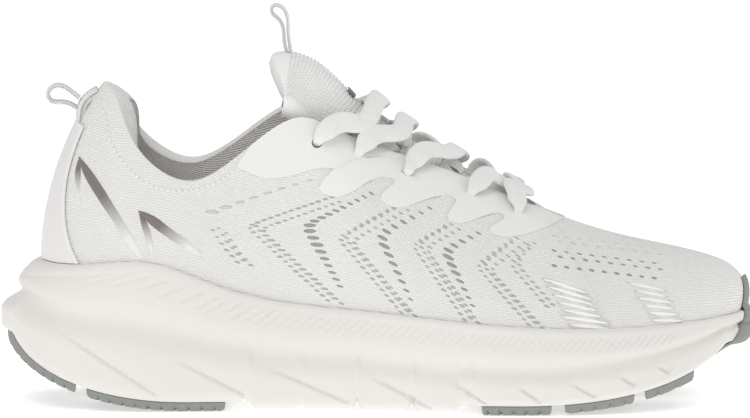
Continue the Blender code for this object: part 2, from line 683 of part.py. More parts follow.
def build_quarter_stripes():
    """Two slanted, fading film stripes on the heel quarter of each side."""
    for side, word in ((LATERAL, "lateral"), (MEDIAL, "medial")):
        for place, (t_high, t_low, v_high, v_low) in STRIPES.items():
            share = np.linspace(0, 1, 9)
            middle_t = t_high + (t_low - t_high) * share
            middle_v = v_high + (v_low - v_high) * share
            width = 0.006 + 0.011 * np.sin(np.pi * (0.12 + 0.8 * share))
            t = np.stack([middle_t - width, middle_t + width])
            v = np.stack([middle_v, middle_v])
            outer = skin(side, t, v, np.full(t.shape, GAP + 0.1 + FILM_THICKNESS))
            inner = skin(side, t, v, np.full(t.shape, GAP + 0.1))
            block(f"stripe_{word}_{place}", outer, inner, GRADIENT_FILM)


# ---------------------------------------------------------------- inside the shoe
def build_inner_sheet(name, t_range, clearance, low, thickness, look, crown=0.0):
    """A flat piece across the inside, clear of the walls by that much."""
    t_lines = lines_between(*t_range, T_LINES)
    top, bottom = [], []
    for t in t_lines:
        edges = [skin(side, t, 0.05, np.array(-clearance)) for side in (LATERAL, MEDIAL)]
        across = np.linspace(0, 1, 7)
        rows = [edges[0] * (1 - s) + edges[1] * s for s in across]
        base = [float(footbed(p[0])) + low for p in rows]
        lift = [crown * (2 * s - 1) ** 4 for s in across]
        bottom.append([(p[0], p[1], z) for p, z in zip(rows, base)])
        top.append([(p[0], p[1], z + thickness + up) for p, z, up in zip(rows, base, lift)])
    return block(name, np.array(top), np.array(bottom), look)


def build_insides():
    wall = UPPER_THICKNESS + COUNTER_THICKNESS + LINING_THICKNESS + 4 * GAP
    build_inner_sheet("lasting_board", (0.005, 0.995), wall + 0.3, 0.2, BOARD_THICKNESS, BOARD)
    insole = build_inner_sheet("insole", (0.01, 0.985), wall + 1.3, BOARD_THICKNESS + 0.6,
                               INSOLE_THICKNESS, GREY_LINING, crown=2.0)
    put_origin(insole, INSOLE_PIVOT)


# ---------------------------------------------------------------- tongue
TONGUE_LENGTH = np.concatenate([
    [0], np.cumsum(np.linalg.norm(np.diff(np.array(TONGUE)[:, :2], axis=0), axis=1)),
])
TONGUE_SHARE = TONGUE_LENGTH / TONGUE_LENGTH[-1]
TONGUE_CURVES = [spline(TONGUE_SHARE, column(TONGUE, i)) for i in range(4)]


def tongue_point(s, angle, depth=0.0, lift=0.0):
    """A point of the tongue: s from base to top, angle round its arch, depth inside."""
    step = 0.004
    low, high = max(s - step, 0), min(s + step, 1)
    run = np.array([TONGUE_CURVES[k](high) - TONGUE_CURVES[k](low) for k in (0, 1)])
    run /= np.linalg.norm(run)
    x, z, half, arch = (float(curve(s)) for curve in TONGUE_CURVES)
    out = np.array([run[1], 0, -run[0]])
    drop = arch * (1 - math.cos(angle)) + depth - lift
    return np.array([x, (half - depth + lift) * math.sin(angle), z]) - out * drop


def tongue_grid(s_lines, angles, depth):
    return np.array([[tongue_point(s, a, depth) for a in angles] for s in s_lines])


TONGUE_SEARCH = tongue_grid(np.linspace(0, 1, 61), np.linspace(-1.2, 1.2, 41), 0)


def build_tongue():
    """Face cloth, foam and lining, all on the tongue's hinge at its sewn base."""
    s_lines = np.linspace(0, 1, 15)
    angles = np.linspace(-TONGUE_WRAP, TONGUE_WRAP, 11)
    foam_top = TONGUE_SKIN + GAP
    foam_low = foam_top + TONGUE_PADDING
    layers = {
        "tongue_face": (0, TONGUE_SKIN, WHITE_KNIT),
        "tongue_padding": (foam_top, foam_low, PADDING_FOAM),
        "tongue_lining": (foam_low + GAP, foam_low + GAP + LINING_THICKNESS, GREY_LINING),
    }
    for name, (top, low, look) in layers.items():
        piece = block(name, tongue_grid(s_lines, angles, top), tongue_grid(s_lines, angles, low),
                      look)
        put_origin(piece, TONGUE_PIVOT)
    label_lines = (np.linspace(*LABEL_S, 3), np.linspace(-LABEL_ANGLE, LABEL_ANGLE, 5))
    label = block("tongue_label", tongue_grid(*label_lines, -GAP - LABEL_THICKNESS),
                  tongue_grid(*label_lines, -GAP), GRADIENT_FILM)
    put_origin(label, TONGUE_PIVOT)


# ---------------------------------------------------------------- lace and loops
def smooth_path(points, spacing):
    """Points on a smooth curve through all of these, at most that far apart."""
    points = np.array(points, float)
    steps = np.linalg.norm(np.diff(points[:, :3], axis=0), axis=1)
    along = np.concatenate([[0], np.cumsum(steps)])
    curves = [spline(along, points[:, k]) for k in range(points.shape[1])]
    at = [0.0]
    for start, step in zip(along, steps):
        parts = math.ceil(step / spacing)
        at += [start + step * (k + 1) / parts for k in range(parts)]
    return np.stack([curve(np.array(at)) for curve in curves], axis=1)


def strap(name, path, up, widths, thickness, look, sides=6):
    """A flat cord swept along a path: up is the way its face looks at each point."""
    tangent = np.gradient(path, axis=0)
    tangent /= np.linalg.norm(tangent, axis=1, keepdims=True)
    across = np.cross(tangent, up)
    across /= np.linalg.norm(across, axis=1, keepdims=True)
    face = np.cross(across, tangent)
    turns = [2 * math.pi * (k + 0.5) / sides for k in range(sides)]
    rings = []
    for point, wide, high, width in zip(path, across, face, widths):
        rings.append([point + wide * width / 2 * squared(math.cos(a))
                      + high * thickness / 2 * squared(math.sin(a)) for a in turns])
    count = len(rings)
    points = np.array(rings).reshape(-1, 3)
    faces = []
    for i in range(count - 1):
        for k in range(sides):
            j = (k + 1) % sides
            faces.append((i * sides + k, i * sides + j, (i + 1) * sides + j, (i + 1) * sides + k))
    faces.append(tuple(range(sides)))
    faces.append(tuple(range((count - 1) * sides, count * sides)))
    made = add_object(name, points, faces, look)
    face_outward(made)
    return made


def squared(value):
    """Pushes a circle's coordinate towards a rounded rectangle's."""
    return math.copysign(abs(value) ** 0.6, value)


def lace_route():
    """Route points of the whole lace: place (3), face direction (3) and width.

    It rises from one aglet inside the shoe, zigzags down one set of eyelets, crosses at
    the front and comes back up the other set. It enters each eyelet from outside.
    """
    over = 3 * GAP + FILM_THICKNESS + 0.6 + LACE_THICKNESS / 2
    under = -(UPPER_THICKNESS + 0.5 + LACE_THICKNESS / 2)
    last = len(EYELETS) - 1

    def heading(side, number, forward):
        """A way along the surface from an eyelet to the throat's edge, and how far that is."""
        t, v = EYELETS[number]
        _, out, inward = eyelet_frame(side, number)
        way = inward + forward * (np.array([1.0, 0, 0]) - out * out[0])
        way /= np.linalg.norm(way)
        step = 0.004
        round_ = (rib(side, t + step, v) - rib(side, t - step, v)) / (2 * step)
        up = (rib(side, t, v + step) - rib(side, t, v - step)) / (2 * step)
        by_t, by_v = np.linalg.lstsq(np.stack([round_, up], axis=1), way, rcond=None)[0]

        def at(w, n):
            return skin(side, t + by_t * w, v + by_v * w, np.array(float(n)))

        return way, at, (1 - v) / by_v

    def over_film(side, number):
        """From above the throat's edge, over the film and down the hole."""
        _, out, _ = eyelet_frame(side, number)
        way, at, edge = heading(side, number, 0.1 if number == last else 0.85)
        turn = [
            (edge + 1.5, over + 2.7, 0, 1, LACE_WIDTH), (edge * 0.6, over + 1.3, 0, 1, LACE_WIDTH),
            (3.2, over, 0, 1, 6.0), (1.4, over - 0.5, -0.5, 0.85, 4.4),
            (0.3, 0.9, -0.95, 0.3, LACE_EYELET_WIDTH), (0.0, -0.4, -1, 0, LACE_EYELET_WIDTH),
        ]
        return [(at(w, n), way * face_w + out * face_n, width)
                for w, n, face_w, face_n, width in turn]

    def under_upper(side, number):
        """Out of the hole on the inside, and on below the throat's edge."""
        _, out, _ = eyelet_frame(side, number)
        way, at, edge = heading(side, number, -0.3)
        sink = 0.2 if number else 1.2  # a loose end lies further in
        if not number:
            way, edge = -way, 12.0
        turn = [
            (0.3, -1.7, -0.95, -0.3, LACE_EYELET_WIDTH),
            (1.4, under + 0.3 - sink / 2, -0.5, -0.85, 3.2), (3.2, under - sink, 0, -1, 4.6),
            (edge * 0.6, under - 0.1 - sink, 0, -1, LACE_UNDER_WIDTH),
        ]
        if number:
            turn.append((edge + 0.5, under - 0.2, 0, -1, LACE_UNDER_WIDTH))
        flip = 1 if number else -1
        turn = turn if number else turn[1:]
        return [(at(flip * w, n), (way * face_w + out * face_n) * flip, width)
                for w, n, face_w, face_n, width in turn]

    def crossing(from_side, from_number, to_number, lift):
        """Over the tongue, from one edge of the throat to the other."""
        start, _, _ = eyelet_frame(from_side, from_number)
        end, _, _ = eyelet_frame(-from_side, to_number)
        made = []
        for share in (0.41, 0.5, 0.585):
            spot = start * (1 - share) + end * share
            s, angle = nearest_on_tongue(spot)
            raised = 0.7 + LACE_THICKNESS / 2 + max(lift - 6 * abs(share - 0.5), 24 * (share - 0.5))
            place = tongue_point(s, angle, 0, raised)
            up = tongue_point(s, angle, 0, raised + 1) - place
            made.append((place, up, LACE_WIDTH))
        return made

    half = []
    for start_side, lift in ((LATERAL, 0.3), (MEDIAL, LACE_THICKNESS + 1.4)):
        run, side = [], start_side
        for number in range(len(EYELETS) - 1, 0, -1):
            run += over_film(side, number) + under_upper(side, number)
            run += crossing(side, number, number - 1, lift)
            side = -side
        run += over_film(side, 0) + under_upper(side, 0) + lace_tail(side)
        half.append(run)
    bar = front_bar()
    return half[0][::-1] + bar + half[1]


def nearest_on_tongue(spot, search=(np.linspace(0, 1, 61), np.linspace(-1.2, 1.2, 41))):
    """s and angle of the tongue point closest to a place above it."""
    away = np.linalg.norm(TONGUE_SEARCH - spot, axis=2)
    i, j = np.unravel_index(np.argmin(away), away.shape)
    return search[0][i], search[1][j]


def rest_on_tongue(place, up):
    """The lace's middle and facing, lifted clear where they would sink into the tongue."""
    s, angle = nearest_on_tongue(place)
    base = tongue_point(s, angle)
    out = tongue_point(s, angle, 0, 1.0) - base
    out /= np.linalg.norm(out)
    height = float((place - base) @ out)
    least = LACE_THICKNESS / 2 + LACE_CLEARANCE
    if height > least + 1 or np.linalg.norm(place - base) > 12:
        return place, up
    up = up / np.linalg.norm(up)
    facing = out if up @ out > 0 else -out
    return place + out * max(least - height, 0), up * 0.3 + facing * 0.7


def front_bar():
    """The straight stretch across the front of the throat."""
    ends = [eyelet_frame(side, len(EYELETS) - 1) for side in (LATERAL, MEDIAL)]
    made = []
    for share in (0.36, 0.5, 0.64):
        spot = ends[0][0] * (1 - share) + ends[1][0] * share
        lift = 4.6 + 3.2 * (1 - abs(2 * share - 1))
        made.append((spot + np.array([2.5, 0, lift]), np.array([0.4, 0, 1.0]), LACE_WIDTH))
    return made


def lace_tail(side):
    """The loose end, tucked down the inside of the quarter to its aglet."""
    depth = -(UPPER_THICKNESS + 2.6)
    return [(skin(side, t, v, depth), outward_normal(side, t, v), LACE_TAIL_WIDTH)
            for t, v in LACE_TAIL]


def build_lace():
    route = [np.concatenate([place, up / np.linalg.norm(up), [width]])
             for place, up, width in lace_route()]
    path = smooth_path(route, 7.0)
    places, ups, widths = path[:, :3], path[:, 3:6], np.clip(path[:, 6], 3.0, LACE_WIDTH)
    for i in range(TAIL_POINTS, len(places) - TAIL_POINTS):
        places[i], ups[i] = rest_on_tongue(places[i], ups[i])
    strap("lace", places, ups, widths, LACE_THICKNESS, LACE_WHITE)
    for number, (end, before, up) in enumerate(
        ((places[0], places[1], ups[0]), (places[-1], places[-2], ups[-1])), 1
    ):
        away = (end - before) / np.linalg.norm(end - before)
        tip = np.array([end + away * (GAP + 0.1 + k * 6) for k in range(4)])
        strap(f"aglet_{number}", tip, np.array([up] * 4), [3.2, 3.4, 3.4, 2.6], 2.4, HARD_PLASTIC)


def build_loops():
    """Folded webbing: the heel pull and the tongue pull, each on its own hinge."""
    for name, line, width, pivot in (
        ("heel_loop", HEEL_LOOP, HEEL_LOOP_WIDTH, HEEL_LOOP_PIVOT),
        ("tongue_loop", TONGUE_LOOP, TONGUE_LOOP_WIDTH, TONGUE_LOOP_PIVOT),
    ):
        path = smooth_path([(x, 0, z) for x, z in line], 2.2)
        tangent = np.gradient(path, axis=0)
        up = np.cross(tangent, (0, 1, 0))
        loop = strap(name, path, up, [width] * len(path), WEBBING_THICKNESS, WHITE_WEBBING)
        put_origin(loop, pivot)
    path = smooth_path([(x, 0, z) for x, z in HEEL_TAB], 2.5)
    up = np.cross(np.gradient(path, axis=0), (0, 1, 0))
    strap("heel_loop_tab", path, up, [HEEL_TAB_WIDTH] * len(path), WEBBING_THICKNESS,
          WHITE_WEBBING)


def main():
    clear_scene()
    build_midsole()
    build_outsole()
    punch = build_eyelet_punch()
    build_upper(punch)
    build_collar()
    build_toe_puff()
    build_heel_clip()
    build_quarter_stripes()
    build_insides()
    build_tongue()
    build_lace()
    build_loops()


main()
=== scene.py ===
# %% [markdown]
# # A right running shoe
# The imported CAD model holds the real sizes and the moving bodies: the shoe itself (shell),
# its tongue, the two pull loops and the insole. This notebook dresses that frame. Each cell
# says what a piece is on the real shoe, how it could be made, and why one way was chosen.

# %% Load the frame
import math

import bmesh
import bpy
import numpy as np
from mathutils import Matrix, Vector
from mathutils.kdtree import KDTree


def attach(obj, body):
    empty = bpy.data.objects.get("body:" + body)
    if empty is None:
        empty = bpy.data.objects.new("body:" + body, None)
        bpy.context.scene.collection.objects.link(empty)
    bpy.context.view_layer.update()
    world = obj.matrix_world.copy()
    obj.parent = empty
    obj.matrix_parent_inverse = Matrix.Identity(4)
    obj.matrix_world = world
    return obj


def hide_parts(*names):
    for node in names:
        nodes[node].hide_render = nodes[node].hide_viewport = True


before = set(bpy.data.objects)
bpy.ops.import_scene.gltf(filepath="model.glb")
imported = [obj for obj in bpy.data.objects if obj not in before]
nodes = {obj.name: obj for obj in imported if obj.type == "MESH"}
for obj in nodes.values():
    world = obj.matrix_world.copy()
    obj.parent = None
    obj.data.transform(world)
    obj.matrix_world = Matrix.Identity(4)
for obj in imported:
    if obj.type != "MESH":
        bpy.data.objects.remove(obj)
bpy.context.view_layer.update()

# %% [markdown]
# ## The shoe's own sizes
# Every cloth and film of a shoe follows its last, the solid foot shape that it is pulled
# over. Here that shape is one master surface, written with the same numbers as the CAD
# part: t runs round from heel (0) to toe (1) on either side, and v runs up a rib from the
# sole (0) to the collar, throat or toe ridge (1). Sizes are in millimetres until a mesh is
# made, and the middle of the outline becomes the origin.

# %% Sizes of the outline, rocker and ribs
MM = 0.001
CENTRE = np.array([0.66, -2.72, 0.0])
GAP = 0.3
LATERAL, MEDIAL = -1, 1
HEEL_X, TOE_X = -150.0, 149.0
OUTLINE_LATERAL = [
    (HEEL_X, 0), (-140, -26), (-110, -41.5), (-70, -42), (-30, -41), (10, -47.5),
    (45, -54.5), (80, -53.5), (112, -43.5), (136, -24), (TOE_X, 5),
]
OUTLINE_MEDIAL = [
    (143.5, 28), (122, 43.5), (86, 49.5), (50, 48.5), (15, 42), (-25, 36.5),
    (-65, 38), (-106, 40), (-139, 25),
]
HEEL_BEVEL_X, HEEL_BEVEL_RISE, HEEL_CURL = -75.0, 34.0, 2.0
TOE_SPRING_X, TOE_SPRING_RISE, TOE_CURL = 57.5, 38.0, 2.2
HEEL_REACH, TOE_REACH = 0.985, 0.94
RUBBER = 3.5
EXPOSED_FOAM_X = (-50.0, 33.0)
FOAM_LIFT = 1.2
FOOTBED = [(-150, 37.5), (-90, 37.2), (-50, 35.2), (-10, 33), (30, 29), (70, 26.6),
           (105, 27), (130, 29), (149, 30.5)]
RIM = [(-150, 57), (-118, 58), (-98, 59.6), (-84, 57.8), (-61, 49.5), (-43, 44.4),
       (-7, 40.2), (30, 37), (60, 34.8), (95, 33.8), (125, 34.4), (149, 35.6)]
RIBS = [
    (0.00, 20.0, 9.0, 32, -109, 0.0, 127.6, -14, 0, -18),
    (0.09, 15.5, 8.0, 30, -104, 15.5, 123.5, -9, 6, -19),
    (0.18, 10.5, 7.0, 22, -97, 28.0, 107.5, 0, 6, -16),
    (0.29, 8.6, 5.0, 17, -78, 33.0, 92.0, 0, 3, -15),
    (0.41, 7.4, 4.0, 20, -54, 31.5, 102.5, 2, 4, -22),
    (0.48, 6.4, 3.5, 21, -34, 29.0, 116.0, 6, 6, -22),
    (0.53, 5.8, 3.0, 20, -22, 27.5, 114.5, 8, 7, -18),
    (0.58, 5.4, 3.0, 19, -6, 23.0, 106.5, 9, 10, -13),
    (0.635, 5.2, 3.0, 18, 17, 18.0, 98.0, 9, 14, -10),
    (0.70, 5.0, 2.0, 17, 42, 14.0, 88.0, 9, 18, -8),
    (0.765, 4.8, 1.5, 17, 64, 0.0, 77.6, 10, 26, -5),
    (0.84, 4.6, 2.0, 17, 86, 0.0, 69.0, 16, 26, -4.5),
    (0.92, 4.2, 4.0, 17.5, 102, 0.0, 64.2, 27, 20, -3.8),
    (1.00, 4.0, 6.5, 17.5, 112, 0.0, 61.6, 37, 0, -3.5),
]
THROAT_END, THROAT_ROUND = 0.765, 0.70
MEDIAL_COLLAR_RISE, RIDGE_SWEEP = 2.5, 3.0
UPPER_THICKNESS = 1.4
print(len(OUTLINE_LATERAL) + len(OUTLINE_MEDIAL), "outline points and", len(RIBS), "ribs")

# %% [markdown]
# ## Smooth curves
# A draughtsman bends a thin batten through a few pins to get a fair line. Blender's curve
# objects can do the same, but here the line has to answer questions, such as how high the
# rim is at some x. A cubic spline as a function does both.


# %% A spline through given values
def spline(knots, values, level_start=False, level_end=False):
    """A smooth curve through the values. A level end has no slope there."""
    x, y = np.array(knots, float), np.array(values, float)
    n, h = len(x), np.diff(x)
    rows, right = np.zeros((n, n)), np.zeros(n)
    for i in range(1, n - 1):
        rows[i, i - 1:i + 2] = h[i - 1], 2 * (h[i - 1] + h[i]), h[i]
        right[i] = 6 * ((y[i + 1] - y[i]) / h[i] - (y[i] - y[i - 1]) / h[i - 1])
    rows[0, 0] = rows[-1, -1] = 1
    if level_start:
        rows[0, :2] = 2 * h[0], h[0]
        right[0] = 6 * (y[1] - y[0]) / h[0]
    if level_end:
        rows[-1, -2:] = h[-1], 2 * h[-1]
        right[-1] = -6 * (y[-1] - y[-2]) / h[-1]
    bend = np.linalg.solve(rows, right)

    def at(t):
        t = np.clip(np.asarray(t, float), x[0], x[-1])
        i = np.clip(np.searchsorted(x, t, side="right") - 1, 0, n - 2)
        past, left, step = t - x[i], x[i + 1] - t, h[i]
        curved = (bend[i] * left**3 + bend[i + 1] * past**3) / (6 * step)
        low = (y[i] / step - bend[i] * step / 6) * left
        return curved + low + (y[i + 1] / step - bend[i + 1] * step / 6) * past

    return at


def column(table, index):
    return [row[index] for row in table]


print("halfway along a footbed's spline:", round(float(spline(*zip(*FOOTBED))(0)), 2))


# %% Outline paths and rib curves
def outline_paths():
    """Dense points of the sole outline, heel to toe, for each side."""
    loop = OUTLINE_LATERAL + OUTLINE_MEDIAL
    points = np.array(loop * 3 + loop[:1], float)
    steps = np.linalg.norm(np.diff(points, axis=0), axis=1)
    along = np.concatenate([[0], np.cumsum(steps)])
    curve_x, curve_y = spline(along, points[:, 0]), spline(along, points[:, 1])
    heel, toe = along[len(loop)], along[len(loop) + len(OUTLINE_LATERAL) - 1]
    paths = {}
    for side, start in {LATERAL: heel, MEDIAL: along[2 * len(loop)]}.items():
        at = np.linspace(start, toe, 1500)
        path = np.stack([curve_x(at), curve_y(at)], axis=1)
        share = np.concatenate([[0], np.cumsum(np.linalg.norm(np.diff(path, axis=0), axis=1))])
        tangent = np.stack([c(at + 0.1) - c(at - 0.1) for c in (curve_x, curve_y)], axis=1)
        tangent /= np.linalg.norm(tangent, axis=1, keepdims=True)
        outward = np.stack([tangent[:, 1], -tangent[:, 0]], axis=1)
        paths[side] = (share / share[-1], path, outward)
    return paths


PATHS = outline_paths()
footbed = spline(*zip(*FOOTBED))
rim_height = spline(*zip(*RIM))
RIB_CURVES = [
    spline(column(RIBS, 0), column(RIBS, i), level_start=i not in (5, 8), level_end=True)
    for i in range(1, len(RIBS[0]))
]
RIB_HALF = spline(column(RIBS, 0)[:10], column(RIBS, 5)[:10])
print("outline points on each side:", len(PATHS[LATERAL][1]))

# %% [markdown]
# ## The master surface
# A rib is a Bezier curve from the sole's rim to the collar or throat. Blender could loft
# such curves as a surface object, but plain functions that give a point for any t and v
# let every later cloth, film, seam and hole sit exactly on the shoe.


# %% Outline and ground
def outline(side, t, inset=0.0):
    """Plan points (x, y) on the sole outline, or that far inside it."""
    share, path, outward = PATHS[side]
    point = np.stack([np.interp(t, share, path[:, k]) for k in (0, 1)], axis=-1)
    out = np.stack([np.interp(t, share, outward[:, k]) for k in (0, 1)], axis=-1)
    return point - out * np.asarray(inset)[..., None], out


def ground(x, depth=0.0):
    """Height of the sole's underside at x. depth goes into the sole from there."""
    x = np.asarray(x, float)
    heel = np.clip((HEEL_BEVEL_X - x) / (HEEL_BEVEL_X - HEEL_X - depth), 0, HEEL_REACH)
    toe = np.clip((x - TOE_SPRING_X) / (TOE_X - TOE_SPRING_X - depth), 0, TOE_REACH)
    back = (HEEL_BEVEL_RISE - depth) * (1 - (1 - heel**HEEL_CURL) ** (1 / HEEL_CURL))
    front = (TOE_SPRING_RISE - depth) * (1 - (1 - toe**TOE_CURL) ** (1 / TOE_CURL))
    return depth + back + front


print("underside at heel, middle and toe:", np.round(ground(np.array([-148, 0, 148])), 1))


# %% Ribs and the skin over them
def rib(side, t, v):
    """Points of the master surface, the outside of the upper."""
    t, v = np.broadcast_arrays(np.asarray(t, float), np.asarray(v, float))
    beyond = (t < 0) | (t > 1)
    if np.any(beyond):  # past the heel or toe is the other side
        inside = np.where(t < 0, -t, np.where(t > 1, 2 - t, t))
        return np.where(beyond[..., None], rib(-side, inside, v), rib(side, inside, v))
    inset, low_out, low_up, top_x, _, top_z, fore, out, up = (c(t) for c in RIB_CURVES)
    foot, outward = outline(side, t, inset)
    bend = np.clip((t - THROAT_ROUND) / (THROAT_END - THROAT_ROUND), 0, 1)
    round_end = RIB_HALF(THROAT_ROUND) * np.sqrt(1 - bend**2)
    half = np.where(t < THROAT_ROUND, RIB_HALF(t), round_end)
    toward_toe = np.clip((t - 0.6) / 0.4, 0, 1)
    middle = RIDGE_SWEEP * toward_toe**2 * (3 - 2 * toward_toe)
    rise = MEDIAL_COLLAR_RISE * (side == MEDIAL) * np.sin(np.pi * np.clip(t / 0.5, 0, 1)) ** 2
    p0 = np.stack([foot[..., 0], foot[..., 1], footbed(foot[..., 0])], axis=-1)
    lean = np.stack([outward[..., 0] * low_out, outward[..., 1] * low_out, low_up], axis=-1)
    p3 = np.stack([top_x, middle + side * half, top_z + rise], axis=-1)
    reach = np.stack([fore, side * out, up], axis=-1)
    p1, p2, v = p0 + lean, p3 + reach, v[..., None]
    return p0 * (1 - v) ** 3 + 3 * p1 * v * (1 - v) ** 2 + 3 * p2 * v**2 * (1 - v) + p3 * v**3


def outward_normal(side, t, v):
    step = 0.002
    v = np.clip(np.asarray(v, float), step, 1 - step)
    along = rib(side, t + step, v) - rib(side, t - step, v)
    up = rib(side, t, v + step) - rib(side, t, v - step)
    normal = np.cross(along, up) * -side
    return normal / np.linalg.norm(normal, axis=-1, keepdims=True)


def skin(side, t, v, offset=0.0):
    """The master surface moved out by offset, or in where it is negative."""
    return rib(side, t, v) + outward_normal(side, t, v) * np.asarray(offset)[..., None]


def rib_share_at(side, t, height):
    """v where the rib at t reaches that height."""
    v = np.linspace(0, 1, 201)
    return float(np.interp(height, rib(side, t, v)[:, 2], v))


print("collar top at the heel:", np.round(rib(LATERAL, 0.0, 1.0), 1))

# %% [markdown]
# ## Drawing on the side view
# A pattern maker draws fingers, holes and seams on a side view of the shoe. A drawn place
# (across, up) is looked up here: the whole outer side is projected once, as seen from seven
# degrees above the floor, and the nearest surface point gives its t and v. The same t and v
# on the inner side repeat the pattern there.

# %% Side view to surface
DRAWING_TILT = math.radians(7)
DRAWING_AXIS_Y = 50.0  # the side view's datum lies this far out from the middle


def drawn(points):
    """Side-view coordinates (across, up) of points."""
    up = points[..., 2] * math.cos(DRAWING_TILT)
    return np.stack([points[..., 0], up + (points[..., 1] + DRAWING_AXIS_Y)
                     * math.sin(DRAWING_TILT)], axis=-1)


LOOK_T, LOOK_V = np.meshgrid(np.linspace(0.0, 1, 501), np.linspace(0.02, 1, 161), indexing="ij")
LOOK_FLAT = np.stack([LOOK_T.ravel(), LOOK_V.ravel()], axis=1)
side_tree = KDTree(len(LOOK_FLAT))
for index, (across, up) in enumerate(drawn(rib(LATERAL, LOOK_T, LOOK_V)).reshape(-1, 2)):
    side_tree.insert((across, up, 0), index)
side_tree.balance()


def on_side(across, up):
    """t and v of the outer surface at a drawn place."""
    t, v = LOOK_FLAT[side_tree.find((across, up, 0))[1]]
    step = 0.002
    for _ in range(2):  # two Newton steps sharpen the nearest sample
        t, v = np.clip(t, step, 1 - step), np.clip(v, step, 1 - step)
        here = drawn(rib(LATERAL, t, v))
        by_t = (drawn(rib(LATERAL, t + step, v)) - here) / step
        by_v = (drawn(rib(LATERAL, t, v + step)) - here) / step
        move = np.linalg.lstsq(np.stack([by_t, by_v], axis=1), np.array([across, up]) - here,
                               rcond=0.02)[0]
        t, v = t + np.clip(move[0], -0.01, 0.01), v + np.clip(move[1], -0.02, 0.02)
    return float(np.clip(t, 0, 1)), float(np.clip(v, 0, 1))


print("a drawn place (0, 60) is at t, v:", np.round(on_side(0, 60), 3))

# %% [markdown]
# ## Meshes
# Each piece is made from rows of points. A block is a closed solid between two grids, a
# loft is a closed tube through rings of points. Points also carry a weave attribute, their
# distance along and across the cloth in metres, so that a woven pattern follows the piece.


# %% Weave attribute
def weave_of(grid):
    """Distances along the rows and across the columns of a grid of points, in metres."""
    along = np.linalg.norm(np.diff(grid, axis=0), axis=2).mean(axis=1)
    along = np.concatenate([[0], np.cumsum(along)])
    across = np.linalg.norm(np.diff(grid, axis=1), axis=2)
    across = np.concatenate([np.zeros((len(grid), 1)), np.cumsum(across, axis=1)], axis=1)
    return np.stack([np.broadcast_to(along[:, None], across.shape), across,
                     np.zeros(across.shape)], axis=-1) * MM


def add_attribute(mesh, name, values):
    values = np.asarray(values, np.float32)
    kind, field = ("FLOAT_VECTOR", "vector") if values.ndim == 2 else ("FLOAT", "value")
    mesh.attributes.new(name, kind, "POINT").data.foreach_set(field, values.ravel())


# %% A piece from points and faces
MERGE, SMALLEST_EDGE, SHARP_ANGLE = 0.000015, 0.000005, math.radians(42)


def piece(name, points, faces, finish, close=True, **attributes):
    """An object at the origin from points in millimetres, its seams and poles merged."""
    mesh = bpy.data.meshes.new(name)
    mesh.from_pydata(((np.asarray(points, float) - CENTRE) * MM).tolist(), [], faces)
    for key, values in attributes.items():
        add_attribute(mesh, key, values)
    shape = bmesh.new()
    shape.from_mesh(mesh)
    bmesh.ops.remove_doubles(shape, verts=shape.verts, dist=MERGE)
    bmesh.ops.dissolve_degenerate(shape, edges=shape.edges, dist=SMALLEST_EDGE)
    if close:
        bmesh.ops.recalc_face_normals(shape, faces=shape.faces)
        if shape.calc_volume(signed=True) < 0:
            bmesh.ops.reverse_faces(shape, faces=shape.faces)
    shape.to_mesh(mesh)
    shape.free()
    mesh.materials.append(finish)
    mesh.shade_smooth()
    mesh.set_sharp_from_angle(angle=SHARP_ANGLE)
    made = bpy.data.objects.new(name, mesh)
    bpy.context.scene.collection.objects.link(made)
    return made


# %% Blocks and lofts
def grid_faces(rows, columns, start=0, flip=False):
    """Quads between neighbouring rows of points."""
    i, j = np.meshgrid(np.arange(rows - 1), np.arange(columns - 1), indexing="ij")
    a = (start + i * columns + j).ravel()
    quads = np.stack([a, a + columns, a + columns + 1, a + 1], axis=1)
    return (quads[:, ::-1] if flip else quads).tolist()


def block(name, top, bottom, finish, **attributes):
    """A closed solid between two grids of points."""
    rows, columns = top.shape[:2]
    count = rows * columns
    faces = grid_faces(rows, columns) + grid_faces(rows, columns, count, flip=True)
    edge = [(i, 0) for i in range(rows)] + [(rows - 1, j) for j in range(1, columns)]
    edge += [(i, columns - 1) for i in range(rows - 2, -1, -1)]
    edge += [(0, j) for j in range(columns - 2, 0, -1)]
    ring = [i * columns + j for i, j in edge]
    faces += [(a, a + count, b + count, b) for a, b in zip(ring, ring[1:] + ring[:1])]
    points = np.concatenate([top.reshape(-1, 3), bottom.reshape(-1, 3)])
    weave = np.tile(weave_of(top).reshape(-1, 3), (2, 1))
    return piece(name, points, faces, finish, weave=weave, **attributes)


def loft(name, rings, finish, **attributes):
    """A closed tube through rings of points, with capped ends."""
    rings = np.asarray(rings, float)
    count, sides = rings.shape[:2]
    i, k = np.meshgrid(np.arange(count - 1), np.arange(sides), indexing="ij")
    a, b = (i * sides + k).ravel(), (i * sides + (k + 1) % sides).ravel()
    faces = np.stack([a, b, b + sides, a + sides], axis=1).tolist()
    faces += [tuple(range(sides)), tuple(range((count - 1) * sides, count * sides))]
    return piece(name, rings.reshape(-1, 3), faces, finish,
                 weave=weave_of(rings).reshape(-1, 3), **attributes)


# %% Finished meshes and their sizes
def plain(item):
    """Applies an object's modifiers: its evaluated mesh becomes its own."""
    graph = bpy.context.evaluated_depsgraph_get()
    mesh = bpy.data.meshes.new_from_object(item.evaluated_get(graph), depsgraph=graph,
                                           preserve_all_data_layers=True)
    item.modifiers.clear()
    old, item.data = item.data, mesh
    bpy.data.meshes.remove(old)
    mesh.name = item.name
    return item


def tell(*made):
    """Prints each piece's triangles and size."""
    for item in made:
        item.data.calc_loop_triangles()
        low, high = (np.array([v.co for v in item.data.vertices]).min(0) * 1000,
                     np.array([v.co for v in item.data.vertices]).max(0) * 1000)
        print(f"{item.name}: {len(item.data.loop_triangles)} triangles,",
              "size in mm", np.round(high - low, 1))

